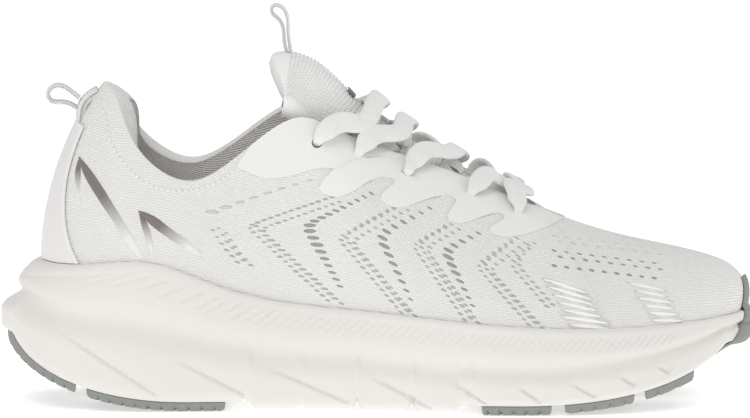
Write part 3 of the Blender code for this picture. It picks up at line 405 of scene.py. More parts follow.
# %% [markdown]
# ## Finishes
# The shoe is nearly one colour, so it reads by its surfaces: knit, film, foam, rubber,
# webbing and lining. Image textures would need a file, so each finish is a small node
# graph. Stripes along the weave attribute make yarns, noise makes foam and grain, and a
# Bump node turns both into relief.


# %% Node helpers
def add_node(tree, kind, settings=None, inputs=None):
    """A node with its settings, and its inputs set to values or linked to sockets."""
    made = tree.nodes.new(kind)
    for key, value in (settings or {}).items():
        setattr(made, key, value)
    for key, value in (inputs or {}).items():
        if isinstance(value, bpy.types.NodeSocket):
            tree.links.new(value, made.inputs[key])
        else:
            made.inputs[key].default_value = value
    return made


def sums(tree, operation, a, b=0.0, c=0.0):
    """A Math node's result."""
    values = {0: a, 1: b, 2: c}
    return add_node(tree, "ShaderNodeMath", {"operation": operation}, values).outputs[0]


def new_finish(name, colour, roughness, **shader_inputs):
    """A material and its shader. Inputs that are the same all over are set on the shader."""
    made = bpy.data.materials.new(name)
    made.use_nodes = True
    shader = made.node_tree.nodes["Principled BSDF"]
    shader.inputs["Base Color"].default_value = (*colour, 1)
    shader.inputs["Roughness"].default_value = roughness
    for key, value in shader_inputs.items():
        shader.inputs[key.replace("_", " ")].default_value = value
    made.diffuse_color = (*colour, 1)
    return made, made.node_tree, shader


# %% Patterns, and what they drive
def woven(tree, pitch, slope=0.0, turned=False):
    """A wave from -1 to 1 across yarns that lie along the weave, or across it if turned."""
    place = add_node(tree, "ShaderNodeAttribute", {"attribute_name": "weave"})
    parts = add_node(tree, "ShaderNodeSeparateXYZ", None, {0: place.outputs["Vector"]}).outputs
    main, other = (parts[0], parts[1]) if turned else (parts[1], parts[0])
    line = sums(tree, "MULTIPLY_ADD", other, slope, main)
    return sums(tree, "SINE", sums(tree, "MULTIPLY", line, 2 * math.pi / pitch))


def noise(tree, scale, detail=3.0):
    """Soft random values from 0 to 1, fixed to the piece."""
    place = add_node(tree, "ShaderNodeTexCoord").outputs["Object"]
    return add_node(tree, "ShaderNodeTexNoise", None,
                    {"Vector": place, "Scale": scale, "Detail": detail}).outputs["Fac"]


def mixed(tree, share, first, second):
    """A colour between two, by a share from 0 to 1."""
    ramp = add_node(tree, "ShaderNodeValToRGB", None, {0: share})
    ramp.color_ramp.elements[0].color = (*first, 1)
    ramp.color_ramp.elements[1].color = (*second, 1)
    return ramp


def finish_graph(tree, shader, colour=None, height=None, relief=0.0002, strength=0.6,
                 roughness=None):
    """Links a colour, a relief and a roughness that vary over the surface."""
    if colour is not None:
        tree.links.new(colour, shader.inputs["Base Color"])
    if roughness is not None:
        tree.links.new(roughness, shader.inputs["Roughness"])
    if height is not None:
        bump = add_node(tree, "ShaderNodeBump", None,
                        {"Height": height, "Distance": relief, "Strength": strength})
        tree.links.new(bump.outputs[0], shader.inputs["Normal"])


# %% [markdown]
# ## Cloth finishes
# The upper is knitted with fine slanted ribs about a millimetre apart. The tongue is a
# spacer mesh, the lining a small twill, and the pulls and lace are woven tape. Two crossed
# waves along the weave attribute give each its own yarns without any UV map.

# %% Knit, spacer mesh, lining, tape and lace
KNIT_WHITE, KNIT_SHADE = (0.91, 0.9, 0.875), (0.85, 0.84, 0.815)


def knit_finish(name, pitch, slope, light, shade, relief):
    """Rows of loops: yarns one way in relief, crossed by fainter ones the other way."""
    made, tree, shader = new_finish(name, light, 0.88, Sheen_Weight=0.25, Sheen_Roughness=0.5,
                                    Specular_IOR_Level=0.25)
    rows = woven(tree, pitch, slope)
    loops = woven(tree, pitch * 0.8, slope, turned=True)
    height = sums(tree, "MULTIPLY_ADD", loops, 0.22, rows)
    share = sums(tree, "MULTIPLY_ADD", height, 0.42, 0.62)
    share = sums(tree, "MULTIPLY_ADD", noise(tree, 90.0), 0.5, sums(tree, "SUBTRACT", share, 0.25))
    finish_graph(tree, shader, mixed(tree, share, shade, light).outputs[0], height, relief, 0.7)
    return made


upper_knit = knit_finish("upper_knit", 0.0011, 0.13, KNIT_WHITE, KNIT_SHADE, 0.00022)
spacer_mesh = knit_finish("spacer_mesh", 0.0009, 0.0, (0.96, 0.955, 0.94), (0.92, 0.915, 0.9),
                          0.00008)
lining_twill = knit_finish("lining_twill", 0.0009, 0.35, (0.95, 0.93, 0.9), (0.88, 0.86, 0.83),
                           0.00015)
insole_cloth = knit_finish("insole_cloth", 0.0016, 0.0, (0.78, 0.76, 0.73), (0.68, 0.66, 0.63),
                           0.0002)
tape = knit_finish("tape", 0.0012, 0.0, (0.93, 0.925, 0.905), (0.8, 0.79, 0.77), 0.0003)
streak_yarn = knit_finish("streak_yarn", 0.0006, 0.0, (0.97, 0.965, 0.95), (0.91, 0.905, 0.89),
                          0.0001)
print("knitted finishes:", [made.name for made in bpy.data.materials])

# %% Lace weave
LACE_WHITE, LACE_SHADE = (0.9, 0.893, 0.878), (0.83, 0.822, 0.805)
LACE_YARN = 0.0011


def lace_finish():
    """A flat tubular weave: yarns slant to the middle from either edge."""
    made, tree, shader = new_finish("lace_weave", LACE_WHITE, 0.8, Sheen_Weight=0.3,
                                    Specular_IOR_Level=0.25)
    slant = woven(tree, LACE_YARN, 0.8)
    other = woven(tree, LACE_YARN, -0.8)
    height = sums(tree, "MAXIMUM", slant, other)
    share = sums(tree, "MULTIPLY_ADD", height, 0.4, 0.6)
    finish_graph(tree, shader, mixed(tree, share, LACE_SHADE, LACE_WHITE).outputs[0], height,
                 0.00014, 0.6)
    return made


lace_weave = lace_finish()
print("lace finish:", lace_weave.name)

# %% [markdown]
# ## Foam, film and rubber finishes
# The midsole is expanded foam with a satin moulded skin, faintly mottled. The films are
# smooth, the rubber is dull and lightly speckled. The hidden stiffeners get a plain moulded
# grain and the lasting board a pressed fibre.


# %% Moulded finishes
MOTTLE_SCALE = 14.0


def moulded_finish(name, light, shade, roughness, grain, relief, **shader_inputs):
    """Mottled colour, and a fine grain in relief and roughness."""
    made, tree, shader = new_finish(name, light, roughness, **shader_inputs)
    cloud = noise(tree, MOTTLE_SCALE, 2.0)
    fine = noise(tree, grain, 4.0)
    share = sums(tree, "MULTIPLY_ADD", fine, 0.5, sums(tree, "MULTIPLY", cloud, 0.6))
    dull = sums(tree, "MULTIPLY_ADD", fine, 0.16, roughness - 0.08)
    finish_graph(tree, shader, mixed(tree, share, shade, light).outputs[0], fine, relief, 0.5,
                 dull)
    return made


sole_skin = moulded_finish("sole_skin", (0.83, 0.81, 0.775), (0.79, 0.765, 0.725), 0.58, 900.0,
                           0.00012, Specular_IOR_Level=0.35)
rubber_grey = moulded_finish("rubber_grey", (0.33, 0.345, 0.32), (0.25, 0.265, 0.245), 0.72,
                             1500.0, 0.0002, Specular_IOR_Level=0.3)
film_satin = moulded_finish("film_satin", (0.87, 0.862, 0.84), (0.845, 0.837, 0.815), 0.5, 700.0,
                            0.00006, Specular_IOR_Level=0.4)
clip_satin = moulded_finish("clip_satin", (0.83, 0.81, 0.8), (0.79, 0.77, 0.76), 0.45,
                            700.0, 0.00006, Specular_IOR_Level=0.45)
stiffener = moulded_finish("stiffener", (0.7, 0.7, 0.69), (0.6, 0.6, 0.59), 0.6, 500.0, 0.0002)
board_fibre = moulded_finish("board_fibre", (0.72, 0.7, 0.66), (0.55, 0.53, 0.49), 0.95,
                             2200.0, 0.0004)
# The greys of the holes below are painted shade: they stand for the dark inside of holes and needle
# dimples. The palest grey also colours the fine knit lines over the toes.
hole_shade = moulded_finish("hole_shade", (0.4, 0.395, 0.385), (0.3, 0.295, 0.29), 0.9, 1800.0,
                            0.0002)
faint_hole_shade = moulded_finish("faint_hole_shade", (0.68, 0.67, 0.655), (0.58, 0.57, 0.555), 0.9, 1800.0,
                            0.0002)
mid_hole_shade = moulded_finish("mid_hole_shade", (0.52, 0.51, 0.5), (0.42, 0.41, 0.4), 0.9, 1800.0,
                          0.0001)
soft_hole_shade_and_knit_line = moulded_finish("soft_hole_shade_and_knit_line", (0.84, 0.83, 0.81), (0.76, 0.75, 0.73), 0.9, 1800.0,
                           0.0001)
label_print = moulded_finish("label_print", (0.2, 0.2, 0.2), (0.14, 0.14, 0.14), 0.5, 1200.0,
                             0.0001)
print("finishes so far:", len(bpy.data.materials))

# %% [markdown]
# ## Fading film
# The stripes at the heel are printed from a warm dark grey to white. A painted image could
# do it, but each stripe already knows how far along it a point lies. So the material reads
# that number, the fade attribute, and a colour ramp turns it into the print.


# %% Fading finish
def fading_finish():
    """Warm dark grey that fades to white along a stripe, by its own fade attribute."""
    made, tree, shader = new_finish("fading_film", (0.38, 0.36, 0.34), 0.42)
    fade = add_node(tree, "ShaderNodeAttribute", {"attribute_name": "fade"}).outputs["Fac"]
    share = sums(tree, "MULTIPLY_ADD", noise(tree, 700.0), 0.06, fade)
    ramp = mixed(tree, share, (0.21, 0.185, 0.172), (0.83, 0.825, 0.805))
    ramp.color_ramp.elements[0].position = 0.2
    ramp.color_ramp.elements[1].position = 0.95
    finish_graph(tree, shader, ramp.outputs[0], noise(tree, 900.0), 0.00005, 0.4)
    return made


fading_film = fading_finish()
print("finishes:", len(bpy.data.materials))

# %% [markdown]
# ## Camera, light and floor
# The camera stands off the outer side, level with a viewer seven degrees above the floor,
# with a very long lens, so that near and far sides keep their sizes. A bright even world
# stands for a white studio, a broad lamp models the forms, a second one lifts the toe, and
# the floor is a plain sheet that glows a little.

# %% Camera
VIEW_WIDTH = 0.300  # metres across the picture
AIM = Vector((-0.00106, 0, 0.0768))
CAMERA_ELEVATION = math.radians(7)
lens_camera = bpy.data.cameras.new("camera")
lens_camera.lens, lens_camera.sensor_width = 900, 36
stand_off = VIEW_WIDTH * lens_camera.lens / lens_camera.sensor_width
camera = bpy.data.objects.new("camera", lens_camera)
bpy.context.scene.collection.objects.link(camera)
back = Vector((0, -math.cos(CAMERA_ELEVATION), math.sin(CAMERA_ELEVATION)))
camera.location = AIM + back * stand_off
camera.rotation_mode = "QUATERNION"
camera.rotation_quaternion = (-back).to_track_quat("-Z", "Y")
lens_camera.clip_start, lens_camera.clip_end = 0.1, 60
bpy.context.scene.camera = camera
print("camera stands off", round(stand_off, 2), "m")

# %% World and lamps
world = bpy.data.worlds.new("white_studio")
world.use_nodes = True
WORLD_STRENGTH = 0.62
world.node_tree.nodes["Background"].inputs["Color"].default_value = (1, 1, 1, 1)
world.node_tree.nodes["Background"].inputs["Strength"].default_value = WORLD_STRENGTH
bpy.context.scene.world = world
bpy.context.scene.view_settings.view_transform = "Standard"


def lamp(name, place, size, power):
    """A square area lamp that looks at the shoe. Size in metres, power in watts."""
    light = bpy.data.lights.new(name, "AREA")
    light.shape, light.size, light.energy = "SQUARE", size, power
    made = bpy.data.objects.new(name, light)
    bpy.context.scene.collection.objects.link(made)
    made.location = place
    made.rotation_mode = "QUATERNION"
    made.rotation_quaternion = (AIM - Vector(place)).to_track_quat("-Z", "Y")
    return made


lamp("key_lamp", (-0.5, -0.9, 1.5), 0.9, 6.2)
lamp("toe_lamp", (1.2, 0.5, 0.9), 0.8, 2.5)
print("lamps:", [light.name for light in bpy.data.lights])

# %% Floor
FLOOR_HALF = 12.0
floor_sheet, _, _ = new_finish("floor_sheet", (1.0, 1.0, 1.0), 0.9, Specular_IOR_Level=0.0,
                               Emission_Color=(1, 1, 1, 1), Emission_Strength=0.45)
floor_mesh = bpy.data.meshes.new("floor")
floor_mesh.from_pydata([(x * FLOOR_HALF, y * FLOOR_HALF, -0.0002)
                        for x, y in ((-1, -1), (1, -1), (1, 1), (-1, 1))], [], [(0, 1, 2, 3)])
floor_mesh.materials.append(floor_sheet)
floor = bpy.data.objects.new("floor", floor_mesh)
bpy.context.scene.collection.objects.link(floor)
print("floor is", 2 * FLOOR_HALF, "m wide")

# %% [markdown]
# ## Midsole
# The thick foam of the sole is moulded: its wall swells, pulls in to a soft channel that
# runs along the side, and swells again towards the rim. Sculpting would do, but the wall is
# one section that changes slowly, so a loft of finely spaced sections is exact. The fan of
# fine ribs under the rim and the long slanted cuts below are pressed in afterwards, as
# distances from drawn lines.

# %% Wall section
SIDEWALL = [(0.0, 0.0), (0.12, 0.0), (0.3, 0.0), (0.42, 0.16), (0.54, 0.42), (0.64, 0.42),
            (0.78, 0.5), (0.9, 0.7), (0.97, 0.87), (1.0, 1.0)]
wall_in = spline(*zip(*SIDEWALL))
CHANNEL_DEPTH, RIM_THICKNESS, FOAM_EDGE = 1.5, 1.6, 2.0
channel_share = spline(*zip(*[(-150, .56), (-106, .57), (-74, .52), (-20, .52), (15, .48),
                              (52, .44), (91, .49), (121, .56), (149, .56)]))
SIPES = [(-52.4, 1.6), (-29.6, 1.8), (-7.6, 4.4), (14.4, 3.6), (38, 2.6)]  # x and depth
SIPE_HALF, BARE_STEP = 1.5, 1.5
SKIN_CLEAR = GAP * 0.4  # the foam's rim stays this far off the upper
CHANNEL_SHARE, CHANNEL_SPREAD = 0.56, 0.1  # where the drawn section has its channel
LOW_EDGE, LOW_EDGE_SPREAD = 1.6, 0.1  # rounding where the wall meets the underside
LIP_DROPS, CREST_RISE = (0.0, 0.1, 0.4), 0.5
WALL_POINTS, INSIDE_POINTS = 64, 7


def under_foam(x):
    """Height of the foam's underside: above the rubber, or bare over the arch, with sipes."""
    rear = np.clip((x - EXPOSED_FOAM_X[0]) / BARE_STEP, 0, 1)
    bare = rear * np.clip((EXPOSED_FOAM_X[1] - x) / BARE_STEP, 0, 1)
    lift = (RUBBER + GAP) * (1 - bare) + FOAM_LIFT * bare
    cut = sum(deep * np.clip(1 - abs(x - at) / SIPE_HALF, 0, 1) for at, deep in SIPES)
    return float(ground(x, lift)) + float(cut)


def wall_section(side, t):
    """Points up the outside of the sidewall at t, then down its inside to the footbed."""
    edge = float(outline(side, t)[0][0])
    rim_z = float(rim_height(edge))
    at_rim = skin(side, t, rib_share_at(side, t, rim_z), SKIN_CLEAR)
    foot, _ = outline(side, t, FOAM_EDGE)
    out_plan, outward = outline(side, t)
    low = under_foam(out_plan[0])
    step = float(np.dot(out_plan - at_rim[:2], outward)) - RIM_THICKNESS
    centre = float(channel_share(edge))
    share = np.linspace(0.03, 1, WALL_POINTS)
    warped = np.interp(share, [0, centre, 1], [0, CHANNEL_SHARE, 1])
    inward = np.clip(wall_in(warped), 0, 1)
    channel = CHANNEL_DEPTH * np.exp(-((share - centre) / CHANNEL_SPREAD) ** 2)
    low_round = LOW_EDGE * np.clip(1 - share / LOW_EDGE_SPREAD, 0, 1) ** 2
    plan = out_plan - outward * (step * inward + channel + low_round)[:, None]
    wall = np.concatenate([plan, (low + share * (rim_z - low))[:, None]], axis=1)
    wall[-3:, 2] -= LIP_DROPS
    going_down = np.linspace(rib_share_at(side, t, rim_z), 0, INSIDE_POINTS)
    inside = skin(side, t, going_down, np.full(INSIDE_POINTS, SKIN_CLEAR))
    inside[-1, 2] = footbed(inside[-1, 0]) - GAP
    crest = (wall[-1] + inside[0]) / 2 + np.array([0, 0, CREST_RISE])
    bottom = np.array([*foot, under_foam(foot[0])])
    return np.concatenate([[bottom], wall, [crest], inside])


even = np.linspace(0, 1, 561)
FINE_T = 0.55 * even + 0.225 * (1 - np.cos(np.pi * even))  # closer together at heel and toe
wall_grids = {side: np.array([wall_section(side, t) for t in FINE_T])
              for side in (LATERAL, MEDIAL)}
print("wall grid:", wall_grids[LATERAL].shape)

# %% [markdown]
# ## Ribs and cuts in the foam
# Each rib is the strip between two fine grooves that climb forward to the rim. They lie
# almost flat near the heel and steepen to half a right angle under the forefoot. Each long
# cut is a soft step, sharp on its lower side. Every wall point is pushed in by how near it
# is to the nearest groove line.

# %% Press the grooves
RIB_ANGLE = spline(*zip(*[(-125, 9), (-90, 14), (-50, 30), (0, 40), (40, 46), (125, 46)]))
RIB_PITCH, RIB_DEPTH, RIB_WIDTH = 2.2, 0.5, 0.42
RIB_X, HEEL_RIBS_END = (-122.0, 124), -60
BELOW_RIM, RIB_FALL = (3.4, 2.2), (5.0, 6.8)  # at the heel, and in front of it
LONGEST_RUN, LEAST_SLOPE = 22.0, 0.32
CUTS = [((-129, 33.4), (-87, 6.5)), ((-81.6, 21.8), (-52.4, 6.6)), ((-46.8, 19), (-10.4, 3.6)),
        ((-4, 15.4), (22.4, 2.4)), ((30.4, 13.4), (44, 4.6)), ((55.6, 12.4), (66, 5.2)),
        ((77.2, 13.2), (87.6, 7.2)), ((96.8, 15.4), (103, 11.4)), ((112, 18.6), (117, 15.6))]
CUT_DEPTH = 1.0


def rib_lines():
    """Ends of the grooves (x, z), one every pitch across their own direction."""
    lines, x = [], RIB_X[0]
    while x < RIB_X[1]:
        ahead = int(x >= HEEL_RIBS_END)
        angle = math.radians(float(RIB_ANGLE(x)))
        high = float(rim_height(x)) - BELOW_RIM[ahead]
        run = min(RIB_FALL[ahead] / math.tan(angle), LONGEST_RUN)
        lines.append(((x - run, high - run * math.tan(angle)), (x, high)))
        x += RIB_PITCH / max(math.sin(angle), LEAST_SLOPE)
    return lines


def pressed(grid, lines, depth, width=None):
    """How deep the nearest line presses each wall point. Without a width it is a step."""
    flat = grid[..., (0, 2)].reshape(-1, 2)
    most = np.zeros(len(flat))
    for start, end in lines:
        start, end = np.array(start), np.array(end)
        run = end - start
        length = np.linalg.norm(run)
        near = np.abs(flat - (start + end) / 2).max(axis=1) < length / 2 + 6
        along = (flat[near] - start) @ run / length**2
        away = (flat[near] - start) @ np.array([-run[1], run[0]]) / length
        if width is None:  # sharp below the line, a long soft slope above it
            shape = np.where(away < 0, np.exp(-(away / 0.35) ** 2), np.exp(-away / 2.6))
            ends = np.clip(along / 0.3, 0, 1) * np.clip((1.02 - along) / 0.06, 0, 1)
        else:
            shape = np.exp(-(away / width) ** 2)
            ends = np.clip(along / 0.18, 0, 1) * np.clip((1 - along) / 0.18, 0, 1)
        most[near] = np.maximum(most[near], depth * shape * ends)
    return most.reshape(grid.shape[:2])


ribs = rib_lines()
for side, grid in wall_grids.items():
    wall = grid[:, 1:WALL_POINTS + 1]
    depth = pressed(wall, ribs, RIB_DEPTH, RIB_WIDTH) + pressed(wall, CUTS, CUT_DEPTH)
    _, outward = outline(side, FINE_T)
    wall[..., :2] -= outward[:, None] * depth[..., None]
print(len(ribs), "ribs and", len(CUTS), "cuts pressed")

# %% Loft the midsole
rings = np.concatenate([wall_grids[LATERAL], wall_grids[MEDIAL][:, ::-1]], axis=1)
count = rings.shape[1]
i, k = np.meshgrid(np.arange(len(FINE_T) - 1), np.arange(count), indexing="ij")
a, b = (i * count + k).ravel(), (i * count + (k + 1) % count).ravel()
sole_foam = piece("sole_foam", rings.reshape(-1, 3),
                  np.stack([a, b, b + count, a + count], axis=1).tolist(), sole_skin)
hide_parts("midsole")
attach(sole_foam, "shell")
tell(sole_foam)

# %% [markdown]
# ## Outsole pads
# Hard rubber saves the foam where the foot lands and pushes off: a wrap at the heel's back
# edge, two heel pads and six pads under the ball. Their undersides are cut with slanted
# grooves for grip. Each pad is a block between two grids, and the grooves are part of the
# lower grid, so they are real cuts.

# %% Rubber with cut grooves
PAD_EDGE, PAD_BEVEL = 2.2, 1.2
GROOVE_PITCH, GROOVE_DEPTH, GROOVE_HALF = 5.2, 1.3, 0.75
MIDDLE_CHANNEL = 5.0


def sole_edge(side, x, inset):
    """y of the sole outline at x, that far inside it."""
    t = np.linspace(0, 1, 800)
    edge, _ = outline(side, t, np.full(t.shape, inset))
    return np.interp(x, edge[:, 0], edge[:, 1])


def groove(x, y, share_x):
    """Depth of the chevron grooves, none close to the pad's front and rear edges."""
    line = (x + 0.45 * np.abs(y)) / GROOVE_PITCH
    near = np.abs(line - np.round(line)) * GROOVE_PITCH
    cut = np.clip((GROOVE_HALF - near) / 0.35, 0, 1)
    return GROOVE_DEPTH * cut * np.clip(np.minimum(share_x, 1 - share_x) / 0.08, 0, 1)


def rubber_pad(name, node, x_range, y_low, y_high):
    """A block of rubber between two curves in plan, with a rounded, grooved underside."""
    long_steps = max(24, round((x_range[1] - x_range[0]) / 0.45))
    share_x, share_y = np.meshgrid(np.linspace(0, 1, long_steps + 1), np.linspace(0, 1, 41),
                                   indexing="ij")

    def layer(inset, depth):
        x = x_range[0] + inset + share_x * (x_range[1] - x_range[0] - 2 * inset)
        low, high = y_low(x) + inset, y_high(x) - inset
        return np.stack([x, low + share_y * (high - low), ground(x, depth)], axis=-1)

    top, bottom = layer(0, RUBBER), layer(0.25, 0.0)
    rim = np.minimum(np.minimum(share_x, 1 - share_x) / 0.05,
                     np.minimum(share_y, 1 - share_y) / 0.04)
    bottom[..., 2] += PAD_BEVEL * (1 - np.sqrt(1 - (1 - np.clip(rim, 0, 1)) ** 2))
    bottom[..., 2] += groove(bottom[..., 0], bottom[..., 1], share_x)
    made = block(name, top, bottom, rubber_grey)
    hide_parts(node)
    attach(made, "shell")
    return made


outer_edge = (lambda x: sole_edge(LATERAL, x, PAD_EDGE), lambda x: 0 * x - MIDDLE_CHANNEL)
inner_edge = (lambda x: 0 * x + MIDDLE_CHANNEL, lambda x: sole_edge(MEDIAL, x, PAD_EDGE))
PADS = [("heel_wrap", (-147.4, -119.5), outer_edge[0], inner_edge[1]),
        ("heel_lateral", (-115.5, -60.0), *outer_edge),
        ("heel_medial", (-115.5, -66.0), *inner_edge)]
for number, stretch in enumerate([(42, 70), (75, 103), (107, 127)], 1):
    PADS.append((f"ball_lateral_{number}", stretch, *outer_edge))
for number, stretch in enumerate([(46, 73), (78, 104), (108.5, 128)], 1):
    PADS.append((f"ball_medial_{number}", stretch, *inner_edge))
for place, stretch, low, high in PADS:
    tell(rubber_pad(f"pad_{place}", f"outsole_{place}", stretch, low, high))

# %% [markdown]
# ## Toe wrap
# The rubber under the toe turns up and ends in a thin guard on the front of the upper. It
# is broad below and narrows as it climbs. Its grid follows the foam wall and then the
# upper, each row with its own reach round the toe, and is thickened outwards.

# %% Wrap over the toe
WRAP_REACH = [(0, 0.07), (0.25, 0.045), (0.55, 0.02), (0.8, 0.014), (1, 0.007)]  # low to high
WRAP_INSETS, WRAP_TOP, WRAP_CLEAR, WRAP_THICKNESS = (14.0, 9.0, 4.0), 0.43, 0.3, 1.5
WRAP_WALL = range(2, WALL_POINTS, 4)
CLIMB_ROWS, SIDE_COLUMNS = 12, 12


def wrap_point(side, reach, row):
    """A point of the wrap's inner face: under the toe, up the foam, then on the upper."""
    t = 1 - reach
    if row < len(WRAP_INSETS):
        place, _ = outline(side, t, WRAP_INSETS[row])
        return np.array([*place, under_foam(place[0])])
    row -= len(WRAP_INSETS)
    if row < len(WRAP_WALL):
        return wall_section(side, t)[WRAP_WALL[row]]
    climb = (row - len(WRAP_WALL) + 1) / CLIMB_ROWS
    low = rib_share_at(side, t, float(rim_height(outline(side, t)[0][0])) + 0.8)
    return skin(side, t, low + (WRAP_TOP - low) * climb, 0.1)


wrap_rows = len(WRAP_INSETS) + len(WRAP_WALL) + CLIMB_ROWS
reach_curve = spline(*zip(*WRAP_REACH))
reaches = [float(reach_curve(row / (wrap_rows - 1))) for row in range(wrap_rows)]
column_shares = np.linspace(-1, 1, 2 * SIDE_COLUMNS + 1)
wrap_grid = np.array([
    [wrap_point(LATERAL if share < 0 else MEDIAL, abs(share) * reach, row)
     for row, reach in enumerate(reaches)] for share in column_shares
])
across, climbing = np.gradient(wrap_grid, axis=0), np.gradient(wrap_grid, axis=1)
wrap_normal = np.cross(across, climbing)
wrap_normal /= np.linalg.norm(wrap_normal, axis=2, keepdims=True)
wrap_normal *= np.sign(wrap_normal[:, wrap_rows // 2, 0]).mean().round() or 1
edge_share = 1 - np.abs(column_shares) ** 8
swelling = (0.35 + 0.65 * edge_share)[:, None, None] * WRAP_THICKNESS
toe_guard = block("toe_guard", wrap_grid + wrap_normal * (WRAP_CLEAR + swelling),
                  wrap_grid + wrap_normal * WRAP_CLEAR, rubber_grey)
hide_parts("outsole_toe_wrap")
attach(toe_guard, "shell")
tell(toe_guard)

# %% [markdown]
# ## The knitted upper
# One knitted cloth runs from the sole to the collar and throat, and closes over the toe.
# It is the master surface itself, laid out as a fine grid on either side, merged along the
# heel and the toe ridge, and given its thickness inwards by a Solidify modifier. The lace
# holes are cut right through by round pegs with a Boolean modifier.

# %% Upper cloth and lace holes
EYELETS = [(0.507, 0.86), (0.563, 0.86), (0.613, 0.85), (0.672, 0.82), (0.724, 0.81)]  # t and v
HOLE_RADIUS = 2.1
THROAT_CORNER = [THROAT_ROUND, 0.735, 0.75, 0.76, THROAT_END]  # rows round its front end


def eyelet_frame(side, number):
    """Where an eyelet is, the way out of it, and the way from it to the throat edge."""
    t, v = EYELETS[number]
    place = skin(side, t, v)
    out = outward_normal(side, t, v)
    inward = rib(side, t, 1.0) - rib(side, t, v)
    inward -= out * np.dot(inward, out)
    return place, out, inward / np.linalg.norm(inward)


def eyelet_punch():
    """A hidden tool of ten round pegs."""
    shape = bmesh.new()
    for side in (LATERAL, MEDIAL):
        for number in range(len(EYELETS)):
            place, out, _ = eyelet_frame(side, number)
            turn = Vector((0, 0, 1)).rotation_difference(Vector(out)).to_matrix().to_4x4()
            bmesh.ops.create_cone(shape, cap_ends=True, segments=28, depth=8 * MM,
                                  radius1=HOLE_RADIUS * MM, radius2=HOLE_RADIUS * MM,
                                  matrix=Matrix.Translation(Vector((place - CENTRE) * MM)) @ turn)
    mesh = bpy.data.meshes.new("eyelet_punch")
    shape.to_mesh(mesh)
    shape.free()
    made = bpy.data.objects.new("eyelet_punch", mesh)
    bpy.context.scene.collection.objects.link(made)
    return made


def two_sided(name, t, v, offset, thickness, finish, punch=None):
    """A cloth over both sides from grids of t and v, thickened and punched."""
    points, faces, weave = [], [], []
    for side in (LATERAL, MEDIAL):
        patch = skin(side, t, v, np.full(t.shape, float(offset)))
        on_ridge = (t[:, -1] >= THROAT_END) & (v[:, -1] > 0.9999)
        patch[on_ridge, -1, 1] = rib(LATERAL, t[on_ridge, -1], np.ones(on_ridge.sum()))[:, 1]
        faces += grid_faces(*patch.shape[:2], start=len(points), flip=side == MEDIAL)
        points += patch.reshape(-1, 3).tolist()
        across = weave_of(patch)
        across[..., 0] = patch[..., 0] * MM  # yarns keep one slant from heel to toe
        weave += across.reshape(-1, 3).tolist()
    made = piece(name, points, faces, finish, close=False, weave=weave)
    solid = made.modifiers.new("thickness", "SOLIDIFY")
    solid.thickness = abs(thickness) * MM
    solid.offset = 1 if thickness > 0 else -1
    if punch:
        cut = made.modifiers.new("lace_holes", "BOOLEAN")
        cut.operation, cut.solver, cut.object = "DIFFERENCE", "EXACT", punch
    plain(made)
    made.data.shade_smooth()
    made.data.set_sharp_from_angle(angle=math.radians(50))
    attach(made, "shell")
    return made


punch = eyelet_punch()
share = np.linspace(0, 1, 241)
t_fine = 0.6 * share + 0.2 * (1 - np.cos(np.pi * share))
t_fine = np.unique(np.concatenate([t_fine, THROAT_CORNER]))
t, v = np.meshgrid(t_fine, np.linspace(0, 1, 77), indexing="ij")
upper_cloth = two_sided("upper_cloth", t, v, 0, -UPPER_THICKNESS, upper_knit, punch)
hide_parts("upper_mesh")
tell(upper_cloth)

# %% [markdown]
# ## The eyestay film
# A thin white film is heat-bonded round the throat. It carries the lace holes, and its
# lower edge runs out in four fingers between slim pockets of bare knit. Cutting that shape
# out of a grid would leave jagged edges. Here every column of the grid starts on the drawn
# edge and slants up to the throat, so the fingers are smooth and each column stays apart.

# %% Film with four fingers
FILM_EDGE = [(-55.6, 99.0), (-45.6, 94.6), (-30.4, 96.2), (-18, 98.2), (-15.2, 97.2),
             (-18.8, 94), (-22.8, 90.4), (-19.6, 87.6), (-6.4, 90.8), (5.2, 94.3), (7.4, 93),
             (4.4, 89.8), (2.0, 86.4), (5.0, 83.4), (17.6, 85.2), (29.4, 87.3), (31.6, 85.8),
             (29.8, 81.8), (28.6, 78), (31.6, 76.6), (40, 78), (49, 80.2), (51.2, 79),
             (48.4, 76.2), (45.2, 73.2), (48, 71.4), (54.4, 71), (66, 74), (75.5, 78.4)]
FILM_THICKNESS = 0.5
EDGE_STEPS = 340


def smooth_line(points, count):
    """Points evenly spread on a smooth curve through all of these."""
    points = np.array(points, float)
    along = np.concatenate([[0], np.cumsum(np.linalg.norm(np.diff(points, axis=0), axis=1))])
    curves = [spline(along, points[:, k]) for k in range(points.shape[1])]
    at = np.linspace(0, along[-1], count)
    return np.stack([curve(at) for curve in curves], axis=1)


edge = np.array([on_side(*place) for place in smooth_line(FILM_EDGE, EDGE_STEPS)])
edge_t, edge_v = edge[:, 0], edge[:, 1]
SLANT = 0.42  # how far forward a column leans, as t for each v
LEAST_STEP = 1e-4  # columns keep at least this far apart, in t
FRONT_HIGH, FRONT_LOW = (0.770, 1.0), (0.789, 0.925)  # t and v of the film's front edge
lean_t = edge_t + SLANT * (1 - edge_v)
for k in range(1, EDGE_STEPS):
    lean_t[k] = max(lean_t[k], lean_t[k - 1] + LEAST_STEP)
past = np.clip((lean_t - FRONT_HIGH[0]) / (lean_t[-1] - FRONT_HIGH[0]), 0, 1)
top_t = np.minimum(lean_t, FRONT_HIGH[0]) + (FRONT_LOW[0] - FRONT_HIGH[0]) * past
top_v = 1 - (1 - FRONT_LOW[1]) * past
shares = np.linspace(0, 1, 26)
t = edge_t[:, None] + (top_t - edge_t)[:, None] * shares
v = edge_v[:, None] + (top_v - edge_v)[:, None] * shares
eyestay = two_sided("eyestay", t, v, 0.05, FILM_THICKNESS, film_satin, punch)
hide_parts("eyestay_film")
bpy.data.objects.remove(punch)
tell(eyestay)

# %% [markdown]
# ## Heel clip and its piping
# A smooth stabiliser is bonded round the back of the heel, from the sole's rim to just
# below the collar, and a thin white cord trims its front and top edges. The clip is a block
# between two offsets of the master surface, and the piping a tube along its edge.

